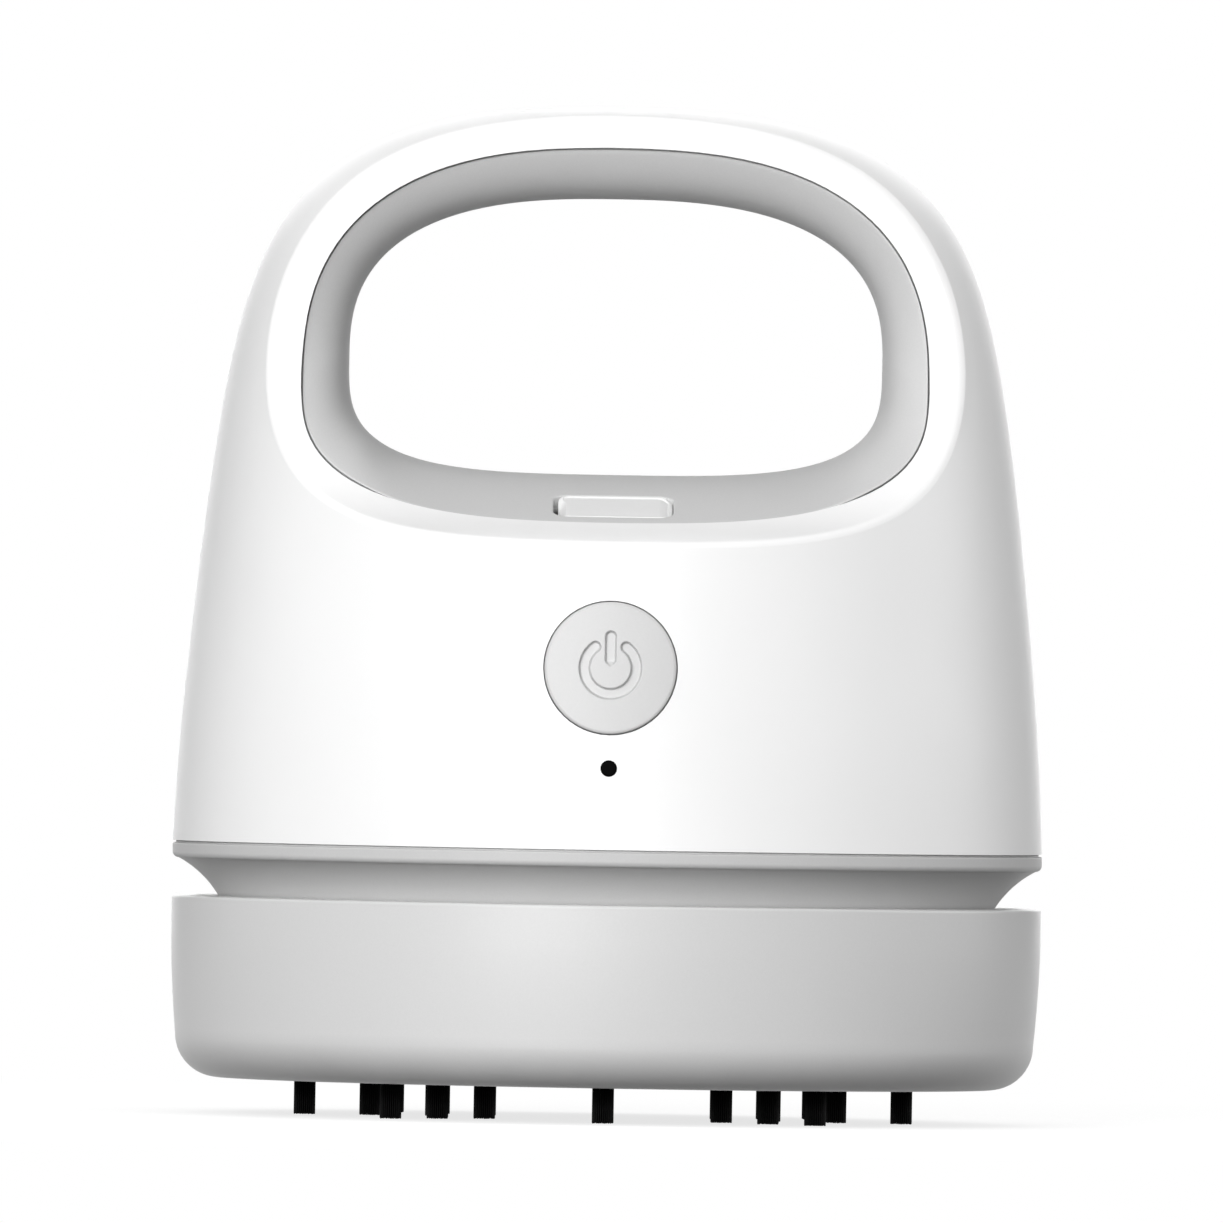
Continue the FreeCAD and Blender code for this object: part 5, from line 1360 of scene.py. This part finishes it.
@dataclass
class PushButton:
    """Round button whose face follows the dome, with a recessed power sign.

    Attributes:
        level: Level of its middle, mm.
        radius: Radius of the cap, mm.
        proud: How far its face stands out of the wall, mm.
        edge: Radius of the rim's rounding, mm.
        sign_radius: Middle radius of the sign's ring, mm.
        sign_stroke: Width of the ring's stroke, mm.
        sign_gap: Width of the ring's opening, mm.
        bar: Half width, foot and top of the bar, above the middle, mm.
        sign_depth: Depth of the sign, mm.
        slope: Width of the sign's sloping sides, mm.
        flange: Radius of the flange behind the wall, mm.
        flange_back: Distance of the flange's back from the middle plane, mm.
        flange_face: Distance of its front, mm.
        stem: Radius of the stem, mm.
        stem_tip: Distance of the stem's tip from the middle plane, mm.
        columns: Steps round it.
    """

    level: float = 45.75
    radius: float = 6.62
    proud: float = 0.3
    edge: float = 0.32
    sign_radius: float = 2.6
    sign_stroke: float = 1.0
    sign_gap: float = 3.3
    bar: tuple[float, float, float] = (0.5, 0.35, 3.65)
    sign_depth: float = 0.55
    slope: float = 0.24
    flange: float = 8.2
    flange_back: float = 38.55
    flange_face: float = 39.75
    stem: float = 2.0
    stem_tip: float = 35.3
    columns: int = 384

    def sign(self, x: np.ndarray, up: np.ndarray) -> np.ndarray:
        """Distance outside the sign: an open ring with round ends, or a round-ended bar.

        Args:
            x: Places across, mm.
            up: Heights above the middle, mm.

        Returns:
            Distances, negative inside.
        """
        middle = self.sign_radius
        opening = self.sign_gap / 2 / middle
        in_gap = np.arctan2(np.abs(x), up) < opening
        end = np.hypot(np.abs(x) - middle * math.sin(opening), up - middle * math.cos(opening))
        ring = np.where(in_gap, end, np.abs(np.hypot(x, up) - middle)) - self.sign_stroke / 2
        half, foot, top = self.bar
        bar = np.hypot(x, up - np.clip(up, foot + half, top - half)) - half
        return np.minimum(ring, bar)

    def build(self, dresser: Dresser) -> None:
        """Makes the button: rings from the face's middle over the rim and back to the stem.

        Face: y = -sqrt((r(z) + proud)^2 - x^2), less the sign's depth where the sign is. Its rings
        lie close together where the sign is, from 0.7 to 4.1 mm.

        Args:
            dresser: Gives the finish and the body.
        """
        face = np.concatenate([[0.0, 0.3, 0.6], np.arange(0.7, 4.1, 0.045), np.linspace(4.3, 5.9, 6),
                               [self.radius - self.edge - 0.05]])
        round_angle = np.linspace(0.0, np.pi / 2, 7)
        rim = self.radius - self.edge * (1 - np.sin(round_angle))
        fall = self.edge * (1 - np.cos(round_angle))
        angle = 2 * np.pi * (np.arange(self.columns) + 0.5) / self.columns
        radius = np.concatenate([face, rim])[:, None]
        lost = np.concatenate([np.zeros(len(face)), fall])[:, None]
        x, up = radius * np.cos(angle), radius * np.sin(angle)
        out = HOUSING.radius(self.level + up) + self.proud
        y = np.sqrt(out ** 2 - x ** 2) - lost
        y = y - self.sign_depth * ease(0.5 - self.sign(x, up) / self.slope)
        front = np.stack([x, -y, self.level + up], -1)
        back = np.array([(self.radius, self.flange_face), (self.flange, self.flange_face),
                         (self.flange, self.flange_back), (self.stem, self.flange_back),
                         (self.stem, self.stem_tip), (0.0, self.stem_tip)])
        back = soften(back, 0.2, 3, False)
        x, up = back[:, :1] * np.cos(angle), back[:, :1] * np.sin(angle)
        rest = np.stack(np.broadcast_arrays(x, -back[:, 1:], self.level + up), -1)
        grid = np.concatenate([front, rest])
        dresser.fit(mesh_piece("push_button", [Patch.grid(grid, False, True)]), "power_button")


@dataclass
class LightLens:
    """Dark light guide under the button: a short nose in the wall, a collar behind it.

    Attributes:
        level: Level of its middle, mm.
        radius: Radius of the nose, mm.
        tip: Distance of its tip from the middle plane, mm.
        collar: Radius of the collar, mm.
        collar_face: Distance of the collar's front, mm.
        back: Distance of its back, mm.
    """

    level: float = 35.7
    radius: float = 0.785
    tip: float = 43.55
    collar: float = 1.4
    collar_face: float = 41.5
    back: float = 32.15

    def build(self, dresser: Dresser) -> None:
        """Makes the lens, turned about its own level axis, with a flat tip.

        Args:
            dresser: Gives the finish and the body.
        """
        line = np.array([(0.0, self.back), (self.collar, self.back), (self.collar, self.collar_face),
                         (self.radius, self.collar_face), (self.radius, self.tip), (0.0, self.tip)])
        patch = lathe(soften(line, 0.1, 3, False), 64, False).forward().moved(z=self.level)
        dresser.fit(mesh_piece("light_lens", [patch]), "indicator_lens")


@dataclass
class PortCover:
    """Silicone cover of the charging port, with a hollow for a fingernail at its left.

    Attributes:
        reach: Distance of its middle from the middle plane, mm.
        level: Level of its middle, mm.
        tilt: Slope of the ramp that it lies in, degrees.
        half: Half its length and width, mm.
        corner: Radius of its corners, mm.
        rim: Width of its rim, mm.
        depth: Depth of the floor below the rim, mm.
        thick: Thickness of the cover, mm.
        hollow: Length and depth of the nail's hollow at the left end, mm.
        ramp: Length and depth of the slope at the right end, mm.
        nail_gap: How far the left end stands back from the lining, mm.
        edge: Radius of the upper edge's round, mm.
        count: Points round it.
    """

    reach: float = 27.5
    level: float = 61.9662
    tilt: float = 18.6776
    half: tuple[float, float] = (5.98, 3.35)
    corner: float = 1.6
    rim: float = 0.38
    depth: float = 0.14
    thick: float = 1.5
    hollow: tuple[float, float] = (1.65, 0.8)
    ramp: tuple[float, float] = (1.4, 0.3)
    nail_gap: float = 0.45
    edge: float = 0.18
    count: int = 320

    def ring(self, border: np.ndarray, inset: float) -> np.ndarray:
        """Outline moved inwards, point by point.

        Each point is the nearest one of a core that shrinks once the inset passes the corner's
        radius, moved by what is left of that radius towards the border.

        Args:
            border: Points of the outline.
            inset: How far the ring lies inside it, mm.

        Returns:
            Points of the ring.
        """
        less = max(self.corner, inset)
        core = np.array(self.half) - less
        inner = np.clip(border, -core, core)
        way = border - inner
        return inner + (less - inset) * way / np.hypot(way[:, 0], way[:, 1])[:, None]

    def place(self, points: np.ndarray) -> np.ndarray:
        """Lays points of the port's own frame on the ramp: turned about X by the tilt, then moved.

        Args:
            points: Points of the port's frame.

        Returns:
            Points of the part's frame.
        """
        angle = math.radians(self.tilt)
        x, y, z = points[..., 0], points[..., 1], points[..., 2]
        return np.stack([x, y * math.cos(angle) - z * math.sin(angle) - self.reach,
                         y * math.sin(angle) + z * math.cos(angle) + self.level], -1)

    def build(self, dresser: Dresser) -> None:
        """Makes the cover: round rectangles from the underside's middle to the top's middle.

        Top: a rim, then a floor by depth lower; the left end falls by an eased hollow for a
        fingernail, the right end by a shallow eased slope. The sides keep their levels.

        Args:
            dresser: Gives the finish and the body.
        """
        length, width = self.half
        rows = [(width, -self.thick), (2.0, -self.thick), (0.2, -self.thick), (0.0, 0.2 - self.thick),
                (0.0, -1.0), (0.0, -0.6)]
        rows += [(self.edge * (1 - math.cos(a)), -self.edge * (1 - math.sin(a)))
                 for a in np.linspace(0.0, math.pi / 2, 5)]
        inset = np.concatenate([np.arange(0.25, 0.7, 0.05), np.arange(0.75, 2.2, 0.08), [2.5, 2.9, width]])
        rows += [(d, -self.depth * float(ease((d - self.rim) / 0.14))) for d in inset]
        border = rounded_ring(length, width, self.corner, self.count)
        rings = np.stack([self.ring(border, row[0]) for row in rows])
        level = np.array([row[1] for row in rows])[:, None]
        x, y = rings[..., 0], rings[..., 1]
        beside = ease((width - 0.3 - np.abs(y)) / 0.3)
        nail = self.hollow[1] * ease((self.hollow[0] - length - x) / self.hollow[0])
        nail = nail * ease((width - 0.4 - y) / 2.6) * ease((width - 0.2 + y) / 0.3)
        slope = self.ramp[1] * ease((x - length + self.ramp[0]) / self.ramp[0]) * beside
        top = level > -0.3
        height = np.minimum(np.where(top, level - slope, level), -nail)
        back = self.nail_gap * ease((self.corner - length - x) / self.corner)
        rings = rings + np.stack([back, 0 * back], -1)
        grid = self.place(np.concatenate([rings, height[..., None]], -1))
        dresser.fit(mesh_piece("charge_cover", [Patch.grid(grid, False, True)]), "port_cover")


def frame_ring(block: np.ndarray) -> np.ndarray:
    """Border of a block of a grid, once round: first row, last column, last row, first column.

    Args:
        block: Rows by columns by anything.

    Returns:
        The border's points.
    """
    return np.concatenate([block[0, :-1], block[:-1, -1], block[-1, :0:-1], block[:0:-1, 0]])


def hole_ring(border: np.ndarray, core: tuple[float, float], middle: tuple[float, float], radius: float
              ) -> np.ndarray:
    """Outline of a round or long hole, one point for each point of the border about it.

    Each point is the nearest one of the hole's core, moved by the radius towards the border.

    Args:
        border: Points (u, v) round the hole.
        core: Half sizes of the core, 0 and 0 for a round hole.
        middle: Middle of the hole.
        radius: Radius of its corners.

    Returns:
        Points (u, v) of the outline.
    """
    away = border - middle
    inner = np.clip(away, (-core[0], -core[1]), core)
    way = away - inner
    return middle + inner + radius * way / np.hypot(way[..., 0], way[..., 1])[..., None]


def between(first: np.ndarray, last: np.ndarray, shares: np.ndarray) -> np.ndarray:
    """Rows of points from one ring to another: first + (last - first) share."""
    return first[None] + (last - first)[None] * np.asarray(shares)[:, None, None]


@dataclass
class Lining:
    """Grey lining of the finger opening, a front and a rear half.

    Attributes:
        columns: Steps round the opening.
        rows: Steps from the middle plane to the rim.
        half_gap: Half the gap between the halves, mm.
        groove: Width of the dark line along the shell's lip, mm.
        groove_depth: How much deeper than the lip the rim stands there, mm.
        rim_width: How far the rim reaches behind the lip, mm.
        clear: Gap between the rim and the lip, mm.
        edge: Radius of the rim's soft edge, mm.
        lean: Length over which the sheet leans in towards the groove, mm.
        crowd: How much closer the rows lie towards the rim.
        boss: Reach, level, radius and length of the screw bosses, mm.
        port_gap: Gap round the port's cover, mm.
        port_edge: Radius of the soft edge round the port, mm.
        port_block: How far the port's block of the grid reaches past it, along and across, mm.
    """

    columns: int = 372
    rows: int = 46
    half_gap: float = 0.05
    groove: float = 0.2
    groove_depth: float = 1.1
    rim_width: float = 2.0
    clear: float = 0.05
    edge: float = 0.12
    lean: float = 8.0
    crowd: float = 0.48
    boss: tuple[float, float, float, float] = (18.0, 61.09, 2.4, 6.0)
    port_gap: float = 0.05
    port_edge: float = 0.09
    port_block: tuple[float, float] = (1.3, 0.9)

    def rim_share(self, angle: np.ndarray) -> np.ndarray:
        """Share of the groove at an angle: all of it at top and sides, none along the bottom."""
        return ease((np.sin(angle) + 0.93) / 0.3)

    def stations(self) -> np.ndarray:
        """Shares of the depth, closer towards the rim: v + crowd sin(pi v) / pi."""
        v = np.linspace(0.0, 1.0, self.rows + 1)
        return v + self.crowd * np.sin(np.pi * v) / np.pi

    def sheet(self, angle: np.ndarray, skin: float) -> np.ndarray:
        """Surface of the front half from the middle plane to the rim.

        The last millimetres lean inwards by the groove's width.

        Args:
            angle: Angles round the opening.
            skin: How far outside the visible surface it lies, mm.

        Returns:
            Rows by columns by three.
        """
        edge = self.edge if skin == 0 else 0.0
        start = self.half_gap + edge
        reach = self.reach(angle) - edge
        depth = start + (reach - start) * self.stations()[:, None]
        points = HOUSING.lining(angle[None, :], depth, skin)
        lean = np.clip(1 - (reach - depth) / self.lean, 0.0, 1.0) ** 2 * self.groove * self.rim_share(angle)
        return self.lean_in(points, angle, lean)

    def reach(self, angle: np.ndarray) -> np.ndarray:
        """Depth of the rim: the scoop's depth less the lip."""
        mouth = HOUSING.mouth.points(angle)
        return HOUSING.scoop_depth(mouth[..., 1]) - HOUSING.lip - self.clear

    @staticmethod
    def lean_in(points: np.ndarray, angle: np.ndarray, amount: np.ndarray) -> np.ndarray:
        """Moves points inwards across the opening."""
        way = HOUSING.mouth.outward(angle)
        return points - np.stack([way[..., 0] * amount, 0 * amount, way[..., 1] * amount], -1)

    def rim(self, angle: np.ndarray, inner: np.ndarray, outer: np.ndarray) -> np.ndarray:
        """Rows that close the rim: a soft edge, the face behind the lip, and its back.

        Args:
            angle: Angles round the opening.
            inner: Last row of the visible surface.
            outer: Last row of the hidden one.

        Returns:
            Rows from the visible surface to the hidden one.
        """
        way = HOUSING.mouth.outward(angle)
        width = self.rim_width * np.clip(np.sin(angle) + 1.0, 0.4, 1.0)
        mouth = HOUSING.mouth.points(angle)
        share = self.rim_share(angle)
        start = mouth - way * (self.groove * share)[:, None]
        far = mouth + way * width[:, None]

        def laid(flat: np.ndarray, back: float | np.ndarray) -> np.ndarray:
            """Points (x, z) laid behind the lip, and further back by a distance."""
            depth = HOUSING.scoop_depth(flat[:, 1]) - HOUSING.lip - self.clear - back
            return np.stack([flat[:, 0], -depth, flat[:, 1]], -1)

        sunk = self.groove_depth * share
        corner = laid(start, 0.0)
        corner[:, 1] = inner[:, 1] - self.edge
        turn = start + way * (0.04 + 0.08 * (1 - share))[:, None]
        soft = [(1 - t) ** 2 * inner + 2 * t * (1 - t) * corner + t ** 2 * laid(turn, 0.06 * share)
                for t in (0.35, 0.7, 1.0)]
        face = [laid(turn, 0.5 * sunk), laid(turn + way * 0.02, sunk), laid(mouth + way * 0.42, sunk),
                laid(mouth + way * 0.5, 0.0), laid(mouth + way * (0.5 * width)[:, None], 0.0),
                laid(far, 0.0), laid(far, 1.3)]
        return np.stack([inner] + soft + face + [outer])

    def port(self, front: np.ndarray, back: np.ndarray, angle: np.ndarray
             ) -> tuple[np.ndarray, list[Patch]]:
        """Cuts the charging port's place into the two sheets of the front half.

        The outline is a round rectangle on the ramp; rings run from it to the border of the
        block of the grid that it replaces.

        Args:
            front: The visible sheet.
            back: The hidden sheet.
            angle: Angles of the columns.

        Returns:
            Which quads of the grid stay, and the patches about the hole.
        """
        cover = PortCover()
        half = (cover.half[0] + self.port_gap, cover.half[1] + self.port_gap)
        corner = cover.corner + self.port_gap
        cosine = math.cos(math.radians(cover.tilt))
        along, across = self.port_block
        columns = np.flatnonzero((np.sin(angle) < 0) & (np.abs(front[-1, :, 0]) < half[0] + along))
        first, last = columns[0], columns[-1]
        low = int(np.argmin(np.abs(-front[:, first, 1] - (cover.reach - (half[1] + across) * cosine))))
        rows = front.shape[0]
        keep = np.ones((rows - 1, len(angle)), bool)
        keep[low:, first:last] = False
        patches = []
        holes = []
        for sheet, skin in ((front, 0.0), (back, HOUSING.skin)):
            block = sheet[low:, first:last + 1]
            border = frame_ring(block)
            flat = np.stack([border[:, 0], (-border[:, 1] - cover.reach) / cosine], 1)
            core = (half[0] - corner, half[1] - corner)
            inner = hole_ring(flat, core, (0.0, 0.0), corner)
            if skin == 0:
                outer = hole_ring(flat, core, (0.0, 0.0), corner + self.port_edge)
                rings = np.concatenate([between(inner, outer, [0.35, 1.0]),
                                        between(outer, flat, np.linspace(0, 1, 7)[1:-1] ** 1.3)])
            else:
                rings = between(inner, flat, np.linspace(0, 1, 5)[:-1])
            points = self.on_ramp(rings[..., 0], cover.reach + rings[..., 1] * cosine, skin)
            if skin == 0:
                points[0, :, 2] -= self.port_edge / 2
                edge = self.on_ramp(inner[:, 0], cover.reach + inner[:, 1] * cosine, 0.0)
                edge[:, 2] -= 0.13
                points = np.concatenate([edge[None], points])
            grid = np.concatenate([points, border[None]])
            patches.append(Patch.grid(grid, False, True))
            holes.append(grid[0])
        patches.append(Patch.grid(between(holes[0], holes[1], np.linspace(0, 1, 5)), False, True))
        return keep, patches

    @staticmethod
    def on_ramp(x: np.ndarray, depth: np.ndarray, skin: float) -> np.ndarray:
        """Points of the lining's floor at places across and depths, by halving the angle.

        Args:
            x: Places across, mm.
            depth: Distances from the middle plane, mm.
            skin: How far outside the visible surface they lie, mm.

        Returns:
            Points, one a line.
        """
        low, high = np.full(x.shape, -math.pi / 2 - 0.75), np.full(x.shape, -math.pi / 2 + 0.75)
        for _ in range(36):
            angle = (low + high) / 2
            left = HOUSING.lining(angle, depth, skin)[..., 0] < x
            low, high = np.where(left, angle, low), np.where(left, high, angle)
        points = HOUSING.lining(low, depth, skin)
        return np.stack([x, points[..., 1], points[..., 2]], -1)

    def build(self, dresser: Dresser) -> None:
        """Makes both halves, each with its two screw bosses.

        Args:
            dresser: Gives the finish and the body.
        """
        angle = HOUSING.mouth.even_angles(self.columns)
        front, back = self.sheet(angle, 0.0), self.sheet(angle, HOUSING.skin)
        rim = self.rim(angle, front[-1], back[-1])
        flat = HOUSING.lining(angle, np.full(angle.shape, self.half_gap), 0.12)
        close = np.stack([back[0], flat, front[0]])
        reach, level, radius, length = self.boss
        sides = [Patch.grid(rim, False, True), Patch.grid(close, False, True)]
        sides += [peg(radius, self.half_gap, length, 0.2).forward().moved(x, 0.0, level)
                  for x in (-reach, reach)]
        keep, patches = self.port(front, back, angle)
        whole = [Patch.grid(sheet, False, True) for sheet in (front, back)]
        holed = [Patch.grid(sheet, False, True, keep) for sheet in (front, back)]
        dresser.fit(mesh_piece("front_lining", holed + patches + sides), "front_liner")
        rear = [patch.mirrored() for patch in whole + sides]
        dresser.fit(mesh_piece("rear_lining", rear), "rear_liner")


@dataclass
class Bristles:
    """Nylon tufts in three rings of eight.

    Attributes:
        rings: Radius of each ring by its name, mm.
        rows: Tufts in a ring.
        tuft_radius: Radius of a tuft, mm.
        top: Height at which the filaments end in the plate, mm.
        filament: Radius of a filament, mm.
        layers: Rings of filaments about a tuft's middle one.
        sides: Sides of a filament.
        twist: Turn of each ring of filaments against the one inside, radians.
        uneven: Most that a filament falls short of the desk, mm.
    """

    rings: tuple[tuple[str, float], ...] = (("inner", 16.9), ("middle", 23.55), ("outer", 30.2))
    rows: int = 8
    tuft_radius: float = 1.1
    top: float = 5.84
    filament: float = 0.088
    layers: int = 5
    sides: int = 6
    twist: float = 0.4
    uneven: float = 0.12

    def filament_places(self) -> np.ndarray:
        """Middles of a tuft's filaments, in even rings.

        Ring k holds 6k filaments at radius k (R - r) / n, each ring turned by k twists.

        Returns:
            Places in the tuft's own plane, mm.
        """
        reach = self.tuft_radius - self.filament
        places = [np.zeros((1, 2))]
        for layer in range(1, self.layers + 1):
            angle = 2 * np.pi * np.arange(6 * layer) / (6 * layer) + self.twist * layer
            places.append(reach * layer / self.layers * np.stack([np.cos(angle), np.sin(angle)], 1))
        return np.concatenate(places)

    def ring_mesh(self, radius: float, seed: int) -> Patch:
        """All filaments of one ring of tufts.

        A filament is a prism from (x, y, tip) to (x, y, top), narrower at the tip, and the tip
        lies at a slightly different height for each.

        Args:
            radius: Radius of the ring, mm.
            seed: Seed of the small differences between filaments.

        Returns:
            The open prisms.
        """
        chance = np.random.default_rng(seed)
        turn = 2 * np.pi * np.arange(self.rows) / self.rows
        centres = radius * np.stack([np.cos(turn), np.sin(turn)], 1)
        places = self.filament_places()
        middles = (centres[:, None, :] + places[None, :, :]).reshape(-1, 2)
        count = len(middles)
        angle = 2 * np.pi * np.arange(self.sides) / self.sides
        section = self.filament * np.stack([np.cos(angle), np.sin(angle)], 1)
        share = np.array([0.0, 0.02, 1.0])
        width = np.array([0.72, 1.0, 1.0])
        points = np.empty((count, 3, self.sides, 3))
        points[..., :2] = middles[:, None, None, :] + section[None, None] * width[None, :, None, None]
        tip = chance.uniform(0.0, self.uneven, count)
        tip[0] = 0.0
        points[..., 2] = (tip[:, None] + (self.top - tip[:, None]) * share[None])[:, :, None]
        quads = grid_faces(3, self.sides, False, True)[:, ::-1]
        quads = (quads[None] + (np.arange(count) * 3 * self.sides)[:, None, None]).reshape(-1, 4)
        return Patch(points.reshape(-1, 3), quads)

    def build(self, dresser: Dresser) -> None:
        """Makes the three rings.

        Args:
            dresser: Gives the finish and the body.
        """
        for seed, (name, radius) in enumerate(self.rings):
            patch = self.ring_mesh(radius, seed)
            first = np.arange(0, len(patch.points), 3 * self.sides)[:, None]
            side = np.arange(self.sides)[None]
            caps = np.concatenate([first + side, first + 2 * self.sides + side[:, ::-1]])
            piece = mesh_piece(f"tufts_{name}", [patch], caps.tolist())
            dresser.fit(piece, f"bristles_{name}")


def main() -> None:
    """Builds the studio and every sub-assembly in order."""
    logging.basicConfig(level=logging.INFO, format="%(name)s: %(message)s")
    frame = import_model()
    scene = bpy.context.scene
    scene.view_settings.view_transform = "Standard"
    Studio().build()
    dresser = Dresser(frame, make_finishes())
    dresser.dress_nodes()
    for part in (WaistRing(), DustCup(), Lining(), PortCover(), PushButton(), LightLens(), Bristles()):
        part.build(dresser)


if __name__ == "__main__":
    main()
